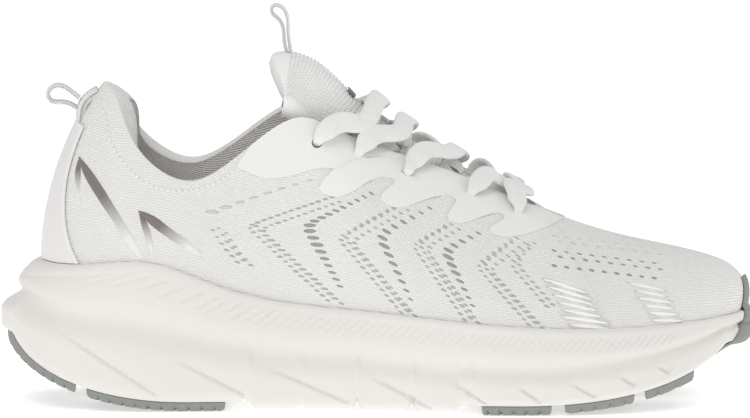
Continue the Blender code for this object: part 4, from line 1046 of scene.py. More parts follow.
# %% Heel clip
CLIP_REACH = [(0, 0.135), (0.3, 0.095), (0.55, 0.068), (0.8, 0.053), (1, 0.047)]
CLIP_TOP, CLIP_THICKNESS = 0.76, 1.2
clip_reach = spline(*zip(*CLIP_REACH))
clip_heights = np.linspace(0, 1, 61)


def clip_rows(side, offset, reach_shares):
    """Upright rows of points, each at a share of the way from the heel to the front edge."""
    rows = []
    for reach in reach_shares:
        t = reach * clip_reach(clip_heights)
        edge_x = outline(side, t)[0][:, 0]
        low = np.array([rib_share_at(side, float(at), float(rim_height(x)) + 0.6)
                        for at, x in zip(t, edge_x)])
        rows.append(skin(side, t, low + (CLIP_TOP - low) * clip_heights, np.full(t.shape, offset)))
    return np.array(rows)


def clip_shell(offset):
    shares = np.linspace(0, 1, 31)
    return np.concatenate([clip_rows(MEDIAL, offset, shares)[::-1],
                           clip_rows(LATERAL, offset, shares)[1:]])


heel_shell = block("heel_shell", clip_shell(GAP + CLIP_THICKNESS), clip_shell(0.1), clip_satin)
soften = heel_shell.modifiers.new("soft_edge", "BEVEL")
soften.width, soften.segments, soften.limit_method = 0.0004, 2, "ANGLE"
soften.angle_limit = math.radians(50)
plain(heel_shell)
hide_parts("heel_clip")
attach(heel_shell, "shell")
tell(heel_shell)

# %% [markdown]
# ## Piping
# A cord sewn over the clip's edge hides the cut and softens it to the touch. A bevelled
# curve would give such a tube, but the clip's edge is already known as points, so rings
# swept along them are as short to write and carry the weave.

# %% Piping round the clip
TUBE_SIDES, PIPING_RADIUS, PIPING_OFFSET = 10, 0.75, 0.9


def tube(name, path, radius, finish):
    """A round cord along a path of points in millimetres."""
    path = np.asarray(path, float)
    tangent = np.gradient(path, axis=0)
    tangent /= np.linalg.norm(tangent, axis=1, keepdims=True)
    normal = np.cross(tangent[0], (0.3, 1, 0.2))
    rings = []
    for place, run in zip(path, tangent):
        normal = normal - run * np.dot(normal, run)
        normal /= np.linalg.norm(normal)
        other = np.cross(run, normal)
        turn = np.linspace(0, 2 * np.pi, TUBE_SIDES, endpoint=False)[:, None]
        rings.append(place + radius * (np.cos(turn) * normal + np.sin(turn) * other))
    return loft(name, rings, finish)


piping_line = np.concatenate([clip_rows(MEDIAL, PIPING_OFFSET, [1.0])[0],
                              clip_shell(PIPING_OFFSET)[2:-2, -1],
                              clip_rows(LATERAL, PIPING_OFFSET, [1.0])[0][::-1]])
clip_piping = tube("clip_piping", smooth_line(piping_line[::2], 240), PIPING_RADIUS, film_satin)
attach(clip_piping, "shell")
tell(clip_piping)

# %% [markdown]
# ## Fading stripes
# On each side of the heel quarter two film shapes are bonded like arrow tips. From its tip
# each one runs down in a long leg and a short one, warm dark grey at first and fading into
# the white cloth. A leg is a thin block along a drawn line with its own width. A fade
# attribute on its points carries the change of colour to the material.

# %% Quarter stripes
STRIPES = {  # each leg's middle line with its width there, and how far it stays dark
    "rear": [
        ([(-118.4, 102.6, 0.4), (-115.7, 97.6, 3.0), (-111.1, 90.3, 4.0), (-106.4, 82.9, 3.8),
          (-101.7, 75.6, 3.4), (-95.7, 65.9, 2.9), (-93.4, 62.4, 2.0)], 0.3),
        ([(-118.3, 101.6, 0.8), (-118.9, 96.9, 2.2), (-118.8, 90.9, 1.6),
          (-118.1, 84.3, 0.3)], 0.1),
    ],
    "front": [
        ([(-94.6, 81.2, 0.4), (-89.7, 77.9, 3.4), (-83.1, 72.9, 3.6), (-75.7, 67.8, 3.0),
          (-69.6, 63.4, 1.2)], 0.25),
        ([(-94.0, 80.2, 0.8), (-91.7, 74.3, 2.6), (-90.1, 68.9, 2.2), (-89.0, 63.4, 1.0)], 0.05),
    ],
}
STRIPE_THICKNESS, STRIPE_SINK, STRIPE_LIFT = 0.35, 0.1, 0.12
STRIPE_STEPS = 61
print("stripes on each side:", list(STRIPES))


# %% Bond the stripes
def stripe_leg(name, side, line, dark):
    """One leg of an arrow tip, from its tip to its faded end."""
    drawn_line = smooth_line(line, STRIPE_STEPS)
    run = np.gradient(drawn_line[:, :2], axis=0)
    run /= np.linalg.norm(run, axis=1, keepdims=True)
    across = np.linspace(-0.5, 0.5, 9)
    width = np.maximum(drawn_line[:, 2], 0.3)[:, None] * across
    places = np.stack([drawn_line[:, :1] - run[:, 1:] * width,
                       drawn_line[:, 1:2] + run[:, :1] * width], axis=-1)
    t, v = np.moveaxis(np.array([[on_side(*place) for place in row] for row in places]), -1, 0)
    crown = STRIPE_LIFT + STRIPE_THICKNESS * (1 - np.abs(2 * across) ** 6) * np.ones(t.shape)
    share = np.linspace(0, 1, STRIPE_STEPS)[:, None] * np.ones(t.shape)
    fade = np.tile(np.clip((share - dark) / (0.85 - dark), 0, 1).ravel(), 2)
    made = block(name, skin(side, t, v, crown), skin(side, t, v, np.full(t.shape, -STRIPE_SINK)),
                 fading_film, fade=fade)
    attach(made, "shell")
    return made


for side, word in ((LATERAL, "lateral"), (MEDIAL, "medial")):
    for place, ((long_line, long_dark), (short_line, short_dark)) in STRIPES.items():
        long_leg = stripe_leg(f"fading_{word}_{place}", side, long_line, long_dark)
        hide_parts(f"stripe_{word}_{place}")
        tell(long_leg, stripe_leg(f"fading_{word}_{place}_short", side, short_line, short_dark))

# %% [markdown]
# ## Padded cloth
# The collar and the tongue are foam covered with cloth. Between its seams such a cover
# swells a little, as a cushion does. A short cloth simulation gives that: the piece is
# pressed from inside while its seams are pinned, how far a point may move is capped, and
# the result becomes its mesh. One subdivision then rounds it.

# %% Swell a padded piece
SIM_FRAMES, SIM_PRESSURE = 20, 4.0


def swell(item, most_mm):
    """Inflates item with cloth simulation. Its pins attribute holds the seams still."""
    before = np.array([v.co for v in item.data.vertices])
    pins = np.zeros(len(before), np.float32)
    item.data.attributes["pins"].data.foreach_get("value", pins)
    group = item.vertex_groups.new(name="seams")
    for index in np.nonzero(pins > 0.01)[0]:
        group.add([int(index)], float(pins[index]), "REPLACE")
    cloth = item.modifiers.new("cloth", "CLOTH")
    cloth.settings.quality = 5
    cloth.settings.use_pressure = True
    cloth.settings.uniform_pressure_force = SIM_PRESSURE
    cloth.settings.vertex_group_mass = "seams"
    cloth.settings.effector_weights.gravity = 0
    cloth.point_cache.frame_start, cloth.point_cache.frame_end = 1, SIM_FRAMES
    for frame_number in range(1, SIM_FRAMES + 1):
        bpy.context.scene.frame_set(frame_number)
    graph = bpy.context.evaluated_depsgraph_get()
    after = np.array([v.co for v in item.evaluated_get(graph).data.vertices])
    item.modifiers.clear()
    item.vertex_groups.clear()
    bpy.context.scene.frame_set(1)
    move = after - before
    length = np.linalg.norm(move, axis=1, keepdims=True)
    move *= np.minimum(1, most_mm * MM / np.maximum(length, 1e-9))
    item.data.vertices.foreach_set("co", (before + move).astype(np.float32).ravel())
    item.data.update()
    print(item.name, "swelled by up to", round(float(length.max()) * 1000, 2),
          "mm, capped at", most_mm)


def rounded(item):
    smooth = item.modifiers.new("round", "SUBSURF")
    smooth.levels = smooth.render_levels = 1
    plain(item)
    item.data.shade_smooth()


# %% [markdown]
# ## Collar
# Round the ankle the knit folds over a foam roll and meets a grey twill lining inside. On a
# section through the collar the outside is thin, the top is a round roll, and the lining
# runs down to the insole. A loft through such sections, from one side of the throat round
# the heel to the other, is one closed body. Its faces inside take the lining cloth.

# %% Collar roll and lining
COLLAR_PADDING = [(0.0, 8.5), (0.1, 8.0), (0.2, 7.0), (0.3, 6.5), (0.38, 4.4), (0.44, 2.2),
                  (0.5, 0.8)]
COLLAR_END, COUNTER_THICKNESS = 0.497, 1.4
ROLL_RISE = 0.1  # height of the roll over the edge, as a share of its thickness
LINING_POINTS, OUTER_POINTS, ROLL_POINTS = 34, 22, 18  # of a section, in their order
ROLL_FROM = LINING_POINTS + OUTER_POINTS  # the first point of the roll in a section
PADDED_POINTS, KNIT_POINTS = 20, 7
KNIT_T = 0.13  # closer to the heel than this, the knit folds further in
collar_padding = spline(*zip(*COLLAR_PADDING), level_start=True)
COLLAR_OUTER = -(UPPER_THICKNESS + GAP)


def padding_depth(t, v):
    share = np.clip((v - 0.45) / 0.35, 0, 1)
    return collar_padding(t) * share**2 * (3 - 2 * share)


def collar_section(side, t):
    """A closed ring: down the lining, back up the outside and over the roll."""
    down = np.linspace(1, 0.06, LINING_POINTS)
    depth = np.maximum(padding_depth(t, down) + 0.6, COUNTER_THICKNESS)
    inner = skin(side, t, down, COLLAR_OUTER - 2 * GAP - depth - 0.8)
    up = np.linspace(0.06, 1, OUTER_POINTS)
    behind = np.maximum(padding_depth(t, up) + 0.6, COUNTER_THICKNESS)
    thin = np.clip((up - 0.45) / 0.06, 0, 1)
    offset = (COLLAR_OUTER - 2 * GAP - behind) * (1 - thin) + COLLAR_OUTER * thin
    outer = skin(side, t, up, offset)
    start, end = skin(side, t, 0.992, -0.1), inner[0]
    rise = rib(side, t, 1.0) - rib(side, t, 0.97)
    rise /= np.linalg.norm(rise)
    width = np.linalg.norm(end - start)
    turn = np.linspace(0, np.pi, ROLL_POINTS)[:-1]
    middle, half = (start + end) / 2, (start - end) / 2
    roll = middle + np.cos(turn)[:, None] * half + np.sin(turn)[:, None] * rise * width * ROLL_RISE
    return np.concatenate([inner, outer, roll])


# %% Loft the collar, swell it and line it
collar_t = np.linspace(-COLLAR_END, COLLAR_END, 171)
collar_rings = np.array([collar_section(LATERAL if t > 0 else MEDIAL, abs(t)) for t in collar_t])
sides = collar_rings.shape[1]
pins = np.ones((len(collar_t), sides), np.float32)
pins[:, 1:PADDED_POINTS] = 0.0
pins[:, ROLL_FROM + 2:] = 0.25  # the roll keeps its seam
pins[:3] = pins[-3:] = 1
collar_roll = loft("collar_roll", collar_rings, upper_knit, pins=pins.ravel())
collar_roll.data.materials.append(lining_twill)


def lined(ring, k):
    """Whether this point of a ring is lining. At the heel the knit folds further in."""
    knit = KNIT_POINTS if abs(collar_t[ring]) < KNIT_T else 0
    return knit <= k < LINING_POINTS or (not knit and k >= ROLL_FROM + 8)


swell(collar_roll, 1.2)
lining_tree = KDTree(collar_rings.shape[0] * sides)
for index, place in enumerate(collar_rings.reshape(-1, 3)):
    lining_tree.insert((place - CENTRE) * MM, index)
lining_tree.balance()
for face in collar_roll.data.polygons:
    face.material_index = int(lined(*divmod(lining_tree.find(face.center)[1], sides)))
rounded(collar_roll)
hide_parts("collar_padding", "collar_lining")
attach(collar_roll, "shell")
tell(collar_roll)

# %% [markdown]
# ## Tongue
# The tongue is a padded flap under the lace, arched over the instep and sewn in at its
# base. Its face is a spacer mesh, its underside the grey lining, and its top edge a thick
# roll. The rings of this loft run round the tongue's thickness, from the base to the top.

# %% Tongue line and points on it
TONGUE = [
    (76, 65.2, 18, 9.5), (64, 71.8, 19, 13), (54, 78.3, 19.5, 17.5), (44, 85.5, 20, 21),
    (31, 94.2, 20, 23.5), (18, 102.2, 20.5, 25.5), (6, 109.8, 21.5, 26), (-5, 118.4, 23, 26),
    (-14, 127.8, 25, 26), (-22, 135.0, 26, 26), (-31, 139.4, 26, 26), (-40, 140.0, 26, 26),
    (-45.5, 137.6, 26, 26),
]
TONGUE_WRAP, TONGUE_DEPTH = math.radians(74), 7.9
tongue_steps = np.linalg.norm(np.diff(np.array(TONGUE)[:, :2], axis=0), axis=1)
tongue_length = np.concatenate([[0], np.cumsum(tongue_steps)])
TONGUE_CURVES = [spline(tongue_length / tongue_length[-1], column(TONGUE, i)) for i in range(4)]


def tongue_point(s, angle, depth=0.0, lift=0.0):
    """A point of the tongue: s from base to top, angle round its arch, depth inside."""
    step = 0.004
    low, high = max(s - step, 0), min(s + step, 1)
    run = np.array([TONGUE_CURVES[k](high) - TONGUE_CURVES[k](low) for k in (0, 1)])
    run /= np.linalg.norm(run)
    x, z, half, arch = (float(curve(s)) for curve in TONGUE_CURVES)
    out = np.array([run[1], 0, -run[0]])
    drop = arch * (1 - math.cos(angle)) + depth - lift
    return np.array([x, (half - depth + lift) * math.sin(angle), z]) - out * drop


# %% Tongue pad
TONGUE_ROLL, ROLL_SEAM = 0.955, 0.90  # s where the top begins to round off, and of its seam
RING_POINTS = 72


def tongue_ring(s, turns):
    """Points round the tongue's thickness: over its face, then back along its lining."""
    past = np.clip((s - TONGUE_ROLL) / (1 - TONGUE_ROLL), 0, 1)
    shrink = math.sqrt(max(1 - past**2, 0.0)) * 0.98 + 0.02
    full = TONGUE_DEPTH + 1.6 * math.exp(-((s - 0.93) / 0.05) ** 2)
    ring = []
    for turn in turns:
        wide = math.copysign(abs(math.cos(turn)) ** 0.6, math.cos(turn))
        high = math.copysign(abs(math.sin(turn)) ** 0.6, math.sin(turn))
        ring.append(tongue_point(s, TONGUE_WRAP * wide * (0.86 + 0.14 * shrink),
                                 full / 2 * (1 - high * shrink)))
    return ring


ring_turns = np.linspace(0, 2 * np.pi, RING_POINTS, endpoint=False)
top_lines = 1 - 0.06 * (1 - np.linspace(0, 1, 13)[1:]) ** 1.6
s_lines = np.concatenate([np.linspace(0, 0.94, 64), top_lines])
tongue_rings = np.array([tongue_ring(s, ring_turns) for s in s_lines])
pins = np.zeros((len(s_lines), len(ring_turns)), np.float32)
pins[:2] = 1
pins[:, 0] = pins[:, RING_POINTS // 2] = 1  # the seams along both edges
pins[s_lines < 0.8] = np.maximum(pins[s_lines < 0.8], 0.5)
pins[int(np.argmin(abs(s_lines - ROLL_SEAM)))] = 0.9
tongue_pad = loft("tongue_pad", tongue_rings, spacer_mesh, pins=pins.ravel())
tongue_pad.data.materials.append(lining_twill)
swell(tongue_pad, 1.0)
tongue_tree = KDTree(tongue_rings.shape[0] * RING_POINTS)
for index, place in enumerate(tongue_rings.reshape(-1, 3)):
    tongue_tree.insert((place - CENTRE) * MM, index)
tongue_tree.balance()
for face in tongue_pad.data.polygons:
    nearest = tongue_tree.find(face.center)[1]
    below = math.sin(ring_turns[nearest % RING_POINTS]) < -0.25
    face.material_index = int(below and s_lines[nearest // RING_POINTS] < ROLL_SEAM)
rounded(tongue_pad)
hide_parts("tongue_face", "tongue_padding", "tongue_lining")
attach(tongue_pad, "tongue")
tell(tongue_pad)

# %% [markdown]
# ## Lace
# One flat tubular lace zigzags through the ten holes. It fills out between the holes and is
# squeezed narrow where it dives into one. The CAD route is repeated, with far more points,
# and swept with a rounded section that grows thicker where the lace is wide. It is held
# along its whole route, so it isn't a free cord.

# %% Lace sizes and turns
LACE_WIDTH, LACE_THICKNESS = 8.0, 1.5
LACE_EYELET_WIDTH, LACE_UNDER_WIDTH, LACE_CLEARANCE = 3.4, 5.2, 0.55
TOP_RISE = 1.2  # the upper strap of each crossing bows up this much more
SEARCH_S, SEARCH_ANGLE = np.linspace(0, 1, 61), np.linspace(-1.2, 1.2, 41)
TONGUE_SEARCH = np.array([[tongue_point(s, a) for a in SEARCH_ANGLE] for s in SEARCH_S])


def nearest_on_tongue(spot):
    away = np.linalg.norm(TONGUE_SEARCH - spot, axis=2)
    i, j = np.unravel_index(np.argmin(away), away.shape)
    return SEARCH_S[i], SEARCH_ANGLE[j]


def heading(side, number, forward):
    """The way from an eyelet to the throat's edge, points along it, and how far that is."""
    t, v = EYELETS[number]
    _, out, inward = eyelet_frame(side, number)
    way = inward + forward * (np.array([1.0, 0, 0]) - out * out[0])
    way /= np.linalg.norm(way)
    step = 0.004
    by_round = (rib(side, t + step, v) - rib(side, t - step, v)) / (2 * step)
    by_up = (rib(side, t, v + step) - rib(side, t, v - step)) / (2 * step)
    by_t, by_v = np.linalg.lstsq(np.stack([by_round, by_up], axis=1), way, rcond=None)[0]
    return way, lambda w, n: skin(side, t + by_t * w, v + by_v * w, float(n)), (1 - v) / by_v


def over_film(side, number):
    """From above the throat's edge, over the film and down the hole."""
    over = 3 * GAP + 0.6 + 0.6 + LACE_THICKNESS / 2
    _, out, _ = eyelet_frame(side, number)
    way, at, edge = heading(side, number, 0.1 if number == len(EYELETS) - 1 else 0.85)
    turn = [
        (edge + 1.5, over + 2.2, 0, 1, LACE_WIDTH), (edge * 0.6, over + 1.2, 0, 1, LACE_WIDTH),
        (3.2, over, 0, 1, 6.4), (1.4, over - 0.5, -0.5, 0.85, 4.4),
        (0.3, 0.9, -0.95, 0.3, LACE_EYELET_WIDTH), (0.0, -0.4, -1, 0, LACE_EYELET_WIDTH),
    ]
    return [(at(w, n), way * face_w + out * face_n, width) for w, n, face_w, face_n, width in turn]


def under_upper(side, number):
    """Out of the hole on the inside, and on below the throat's edge."""
    under = -(UPPER_THICKNESS + 0.5 + LACE_THICKNESS / 2)
    _, out, _ = eyelet_frame(side, number)
    way, at, edge = heading(side, number, -0.3)
    sink = 0.2 if number else 1.2
    if not number:
        way, edge = -way, 12.0
    turn = [
        (0.3, -1.7, -0.95, -0.3, LACE_EYELET_WIDTH),
        (1.4, under + 0.3 - sink / 2, -0.5, -0.85, 3.2), (3.2, under - sink, 0, -1, 4.6),
        (edge * 0.6, under - 0.1 - sink, 0, -1, LACE_UNDER_WIDTH),
    ]
    if number:
        turn.append((edge + 0.5, under - 0.2, 0, -1, LACE_UNDER_WIDTH))
    flip = 1 if number else -1
    turn = turn if number else turn[1:]
    return [(at(flip * w, n), (way * face_w + out * face_n) * flip, width)
            for w, n, face_w, face_n, width in turn]


# %% Crossings, front bar and tails
def crossing(from_side, from_number, to_number, lift):
    """Over the tongue, from one edge of the throat to the other."""
    start, _, _ = eyelet_frame(from_side, from_number)
    end, _, _ = eyelet_frame(-from_side, to_number)
    made = []
    for share in (0.41, 0.5, 0.585):
        s, angle = nearest_on_tongue(start * (1 - share) + end * share)
        raised = 0.7 + LACE_THICKNESS / 2 + max(lift - 6 * abs(share - 0.5), 24 * (share - 0.5))
        raised += TOP_RISE * (lift > 1) * (1 + 9 * (share - 0.41))
        place = tongue_point(s, angle, 0, raised)
        made.append((place, tongue_point(s, angle, 0, raised + 1) - place, LACE_WIDTH))
    return made


def front_bar():
    """The straight stretch across the front of the throat."""
    ends = [eyelet_frame(side, len(EYELETS) - 1)[0] for side in (LATERAL, MEDIAL)]
    made = []
    for share in (0.36, 0.5, 0.64):
        lift = 4.6 + 3.2 * (1 - abs(2 * share - 1))
        made.append((ends[0] * (1 - share) + ends[1] * share + np.array([2.5, 0, lift]),
                     np.array([0.4, 0, 1.0]), LACE_WIDTH))
    return made


def lace_tail(side):
    """The loose end, tucked down the inside of the quarter to its aglet."""
    route = [(0.505, 0.60), (0.515, 0.48), (0.535, 0.38), (0.565, 0.33), (0.595, 0.32)]
    return [(skin(side, t, v, -(UPPER_THICKNESS + 2.6)), outward_normal(side, t, v), 4.6)
            for t, v in route]


# %% The whole route
def lace_route():
    """Route points of the whole lace: place (3), face direction (3) and width."""
    half = []
    for start_side in (LATERAL, MEDIAL):
        run, side = [], start_side
        for number in range(len(EYELETS) - 1, 0, -1):
            run += over_film(side, number) + under_upper(side, number)
            lift = LACE_THICKNESS + 1.4 if side == MEDIAL else 0.3
            run += crossing(side, number, number - 1, lift)
            side = -side
        half.append(run + over_film(side, 0) + under_upper(side, 0) + lace_tail(side))
    return half[0][::-1] + front_bar() + half[1]


def smooth_path(points, spacing):
    """Points on a smooth curve through all of these, at most that far apart."""
    points = np.array(points, float)
    steps = np.linalg.norm(np.diff(points[:, :3], axis=0), axis=1)
    along = np.concatenate([[0], np.cumsum(steps)])
    curves = [spline(along, points[:, k]) for k in range(points.shape[1])]
    at = [0.0]
    for start, step in zip(along, steps):
        parts = math.ceil(step / spacing)
        at += [start + step * (k + 1) / parts for k in range(parts)]
    return np.stack([curve(np.array(at)) for curve in curves], axis=1)


# %% [markdown]
# ## Sweeping the lace
# The route gives a place, the way the lace's face looks and a width at every turn. Blender
# could bevel a curve along it, but a bevel has one section, and this lace narrows at each
# hole. So rings of points are swept along the route, each with its own width, and any ring
# that would sink into the tongue is lifted out of it first.

# %% Sweep the lace
STRAP_SIDES = 20


def strap(name, path, up, widths, thickness, finish, roundness):
    """A flat cord swept along a path: up is the way its face looks at each point."""
    path, up = np.asarray(path, float), np.asarray(up, float)
    widths, thickness = (np.broadcast_to(a, len(path)).astype(float) for a in (widths, thickness))
    tangent = np.gradient(path, axis=0)
    tangent /= np.linalg.norm(tangent, axis=1, keepdims=True)
    across = np.cross(tangent, up)
    across /= np.linalg.norm(across, axis=1, keepdims=True)
    face = np.cross(across, tangent)
    turn = np.linspace(0, 2 * np.pi, STRAP_SIDES, endpoint=False) + 0.1
    wide = np.sign(np.cos(turn)) * np.abs(np.cos(turn)) ** roundness
    high = np.sign(np.sin(turn)) * np.abs(np.sin(turn)) ** 0.8
    rings = (path[:, None] + across[:, None] * (widths[:, None] / 2 * wide)[..., None]
             + face[:, None] * (thickness[:, None] / 2 * high)[..., None])
    return loft(name, rings, finish)


# %% Lift the lace off the tongue, and sweep it
route = [np.concatenate([place, up / np.linalg.norm(up), [width]])
         for place, up, width in lace_route()]
path = smooth_path(route, 7.0)
TAIL_POINTS = 18
for k in range(TAIL_POINTS, len(path) - TAIL_POINTS):
    place, up = path[k, :3], path[k, 3:6]
    s, angle = nearest_on_tongue(place)
    base = tongue_point(s, angle)
    out = tongue_point(s, angle, 0, 1.0) - base
    height, least = float((place - base) @ out), LACE_THICKNESS / 2 + LACE_CLEARANCE
    if height <= least + 1 and np.linalg.norm(place - base) <= 12:
        up = up / np.linalg.norm(up)
        path[k, 3:6] = up * 0.3 + (out if up @ out > 0 else -out) * 0.7
        path[k, :3] = place + out * max(least - height, 0)
fine = smooth_path(path, 1.1)
lace_widths = np.clip(fine[:, 6] * 1.06, 3.2, LACE_WIDTH * 1.08)
lace_thick = 1.35 + 1.05 * np.clip((lace_widths - 4.0) / 4.5, 0, 1) ** 1.5
laces = strap("flat_lace", fine[:, :3], fine[:, 3:6], lace_widths, lace_thick, lace_weave, 0.7)
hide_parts("lace")
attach(laces, "shell")
lace_length = np.linalg.norm(np.diff(fine[:, :3], axis=0), axis=1).sum()
print("lace length along its route:", round(float(lace_length)), "mm")
tell(laces)

# %% [markdown]
# ## Pull loops
# The heel pull and the tongue pull are folded woven tape, sewn in at their roots. Each is a
# flat strap swept round its fold. The heel pull's tab is the same tape, sewn to the collar.

# %% Webbing
LOOPS = {  # CAD node, body, width, middle line (x, z) and thickness
    "heel_pull": ("heel_loop", "heel_loop", 7.5,
                  [(-119.8, 117.4), (-122.6, 119.0), (-126.2, 119.6), (-129.6, 120.0),
                   (-131.2, 122.6), (-129.8, 125.3), (-126.6, 126.4), (-123.2, 125.0),
                   (-120.4, 122.8), (-118.6, 121.4)], 1.7),
    "tongue_pull": ("tongue_loop", "tongue_loop", 5.5,
                    [(-35.8, 139.6), (-36.8, 144.6), (-37.2, 149.4), (-39.2, 153.2),
                     (-41.8, 156.2), (-41.2, 158.1), (-38.8, 158.4), (-36.4, 156.4),
                     (-35.3, 152.9), (-35.1, 147.8), (-34.4, 142.2), (-34.0, 139.4)], 1.5),
    "heel_pull_tab": ("heel_loop_tab", "shell", 8.5,
                      [(-117.4, 108), (-117.9, 112), (-117.8, 116), (-116.7, 119.4),
                       (-114.2, 122.2), (-111.0, 124.2)], 4.2),
}
for name, (node, body, width, line, thickness) in LOOPS.items():
    path = smooth_path([(x, 0, z) for x, z in line], 0.6)
    made = strap(name, path, np.cross(np.gradient(path, axis=0), (0, 1, 0)), width,
                 thickness, tape, 0.45)
    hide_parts(node)
    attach(made, body)
    tell(made)

# %% [markdown]
# ## Insole and hidden parts
# The insole is a thin foam sheet covered with cloth, cupped a little at its edges. It shows
# through the ankle opening, so it gets its own smooth sheet. The lasting board, the heel
# stiffener, the toe puff, the aglets and the tongue's label keep their CAD shapes and take
# a finish.

# %% Insole
INSOLE_CLEAR, INSOLE_LOW, INSOLE_THICK, INSOLE_CROWN = 6.3, 2.1, 4.5, 2.0
insole_t = np.linspace(0.01, 0.985, 121)
across = np.linspace(0, 1, 33)
edges = [skin(side, insole_t, np.full(insole_t.shape, 0.05),
              np.full(insole_t.shape, -INSOLE_CLEAR)) for side in (LATERAL, MEDIAL)]
plan = edges[0][:, None] * (1 - across)[None, :, None] + edges[1][:, None] * across[None, :, None]
under = plan.copy()
under[..., 2] = footbed(plan[..., 0]) + INSOLE_LOW
over = under.copy()
over[..., 2] += INSOLE_THICK + INSOLE_CROWN * (2 * across - 1) ** 4
sock_liner = block("sock_liner", over, under, insole_cloth)
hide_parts("insole")
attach(sock_liner, "insole")
tell(sock_liner)

# %% Finishes of the CAD parts
for node, finish in {"heel_counter": stiffener, "toe_puff": stiffener, "aglet_1": stiffener,
                     "aglet_2": stiffener, "lasting_board": board_fibre,
                     "tongue_label": label_print}.items():
    nodes[node].data.materials.clear()
    nodes[node].data.materials.append(finish)
    print(node, "takes", finish.name)

# %% [markdown]
# ## Small things that repeat
# Hundreds of holes, stitches and woven bars repeat the same small shape along drawn lines.
# Geometry Nodes do this well: the points carry the way out of the cloth, the way along it
# and a size, and the tree sets one small shape on every point, turned and scaled to fit.
# The tree's inputs name the sizes, and a fixed seed varies them a little.


# %% A tree that stamps a small shape on points
def stamp_tree(name, shape, finish):
    """Geometry Nodes that put a lens or a bar on every point."""
    tree = bpy.data.node_groups.new(name, "GeometryNodeTree")
    for label, kind, value in (("Geometry", "NodeSocketGeometry", None),
                               ("Length", "NodeSocketFloat", 1.0),
                               ("Width", "NodeSocketFloat", 1.0),
                               ("Height", "NodeSocketFloat", 1.0),
                               ("Variation", "NodeSocketFloat", 0.1),
                               ("Seed", "NodeSocketInt", 1)):
        socket = tree.interface.new_socket(name=label, in_out="INPUT", socket_type=kind)
        if value is not None:
            socket.default_value = value
    tree.interface.new_socket(name="Geometry", in_out="OUTPUT", socket_type="NodeSocketGeometry")
    given = tree.nodes.new("NodeGroupInput")
    out = tree.nodes.new("NodeGroupOutput")

    def named(attribute):
        return add_node(tree, "GeometryNodeInputNamedAttribute", {"data_type": "FLOAT_VECTOR"},
                        {"Name": attribute}).outputs["Attribute"]

    if shape == "lens":
        stamp = add_node(tree, "GeometryNodeMeshUVSphere", None,
                         {"Segments": 10, "Rings": 4, "Radius": 0.5}).outputs["Mesh"]
    else:
        bar = add_node(tree, "GeometryNodeMeshCylinder", {"fill_type": "NGON"},
                       {"Vertices": 8, "Radius": 0.5, "Depth": 1.0}).outputs["Mesh"]
        stamp = add_node(tree, "GeometryNodeTransform", None,
                         {"Geometry": bar, "Rotation": (0, math.pi / 2, 0)}).outputs[0]
    turn = add_node(tree, "FunctionNodeAxesToRotation",
                    {"primary_axis": "Z", "secondary_axis": "X"},
                    {"Primary Axis": named("face_out"), "Secondary Axis": named("run")})
    vary = add_node(tree, "FunctionNodeRandomValue", {"data_type": "FLOAT"},
                    {"Seed": given.outputs["Seed"]})
    for key, operation in (("Min", "SUBTRACT"), ("Max", "ADD")):
        made = add_node(tree, "ShaderNodeMath", {"operation": operation},
                        {0: 1.0, 1: given.outputs["Variation"]})
        target = next(s for s in vary.inputs if s.name == key and s.enabled)
        tree.links.new(made.outputs[0], target)
    sizes = add_node(tree, "ShaderNodeCombineXYZ", None,
                     {"X": given.outputs["Length"], "Y": given.outputs["Width"],
                      "Z": given.outputs["Height"]}).outputs[0]
    sized = add_node(tree, "ShaderNodeVectorMath", {"operation": "MULTIPLY"},
                     {0: sizes, 1: named("size")}).outputs[0]
    value = next(s for s in vary.outputs if s.enabled)
    scaled = add_node(tree, "ShaderNodeVectorMath", {"operation": "SCALE"},
                      {0: sized, "Scale": value}).outputs[0]
    placed = add_node(tree, "GeometryNodeInstanceOnPoints", None,
                      {"Points": given.outputs["Geometry"], "Instance": stamp,
                       "Rotation": turn.outputs[0], "Scale": scaled}).outputs[0]
    real = add_node(tree, "GeometryNodeRealizeInstances", None, {"Geometry": placed}).outputs[0]
    smooth = add_node(tree, "GeometryNodeSetShadeSmooth", None, {"Geometry": real}).outputs[0]
    dressed = add_node(tree, "GeometryNodeSetMaterial", None,
                       {"Geometry": smooth, "Material": finish}).outputs[0]
    tree.links.new(dressed, out.inputs[0])
    return tree


# %% Setting stamps on a piece
def stamped(name, tree, stamps, body, slot, **inputs):
    """A plain mesh of stamps. Each stamp is (place, way out, way along, size)."""
    places = np.array([s[0] for s in stamps], float)
    mesh = bpy.data.meshes.new(name)
    mesh.from_pydata(((places - CENTRE) * MM).tolist(), [], [])
    for key, index in (("face_out", 1), ("run", 2), ("size", 3)):
        add_attribute(mesh, key, np.array([s[index] for s in stamps], float))
    made = bpy.data.objects.new(name, mesh)
    bpy.context.scene.collection.objects.link(made)
    repeat = made.modifiers.new("repeat", "NODES")
    repeat.node_group = tree
    sockets = {item.name: item.identifier for item in tree.interface.items_tree
               if item.in_out == "INPUT"}
    for label, value in inputs.items():
        repeat[sockets[label]] = value
    plain(made)
    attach(made, body)
    print(f"{name}: {len(stamps)} stamps")
    tell(made)
    return made


def on_cloth(side, t, v, offset, slope, size):
    """A stamp on the upper that lies at a slope to the shoe's length, in radians."""
    out = outward_normal(side, t, v)
    ahead = rib(side, t + 0.003, v) - rib(side, t - 0.003, v)
    ahead /= np.linalg.norm(ahead)
    up = np.cross(out, ahead) * (1 if side == LATERAL else -1)
    up *= np.sign(up[2]) or 1
    return (skin(side, t, v, offset), out, ahead * math.cos(slope) + up * math.sin(slope), size)
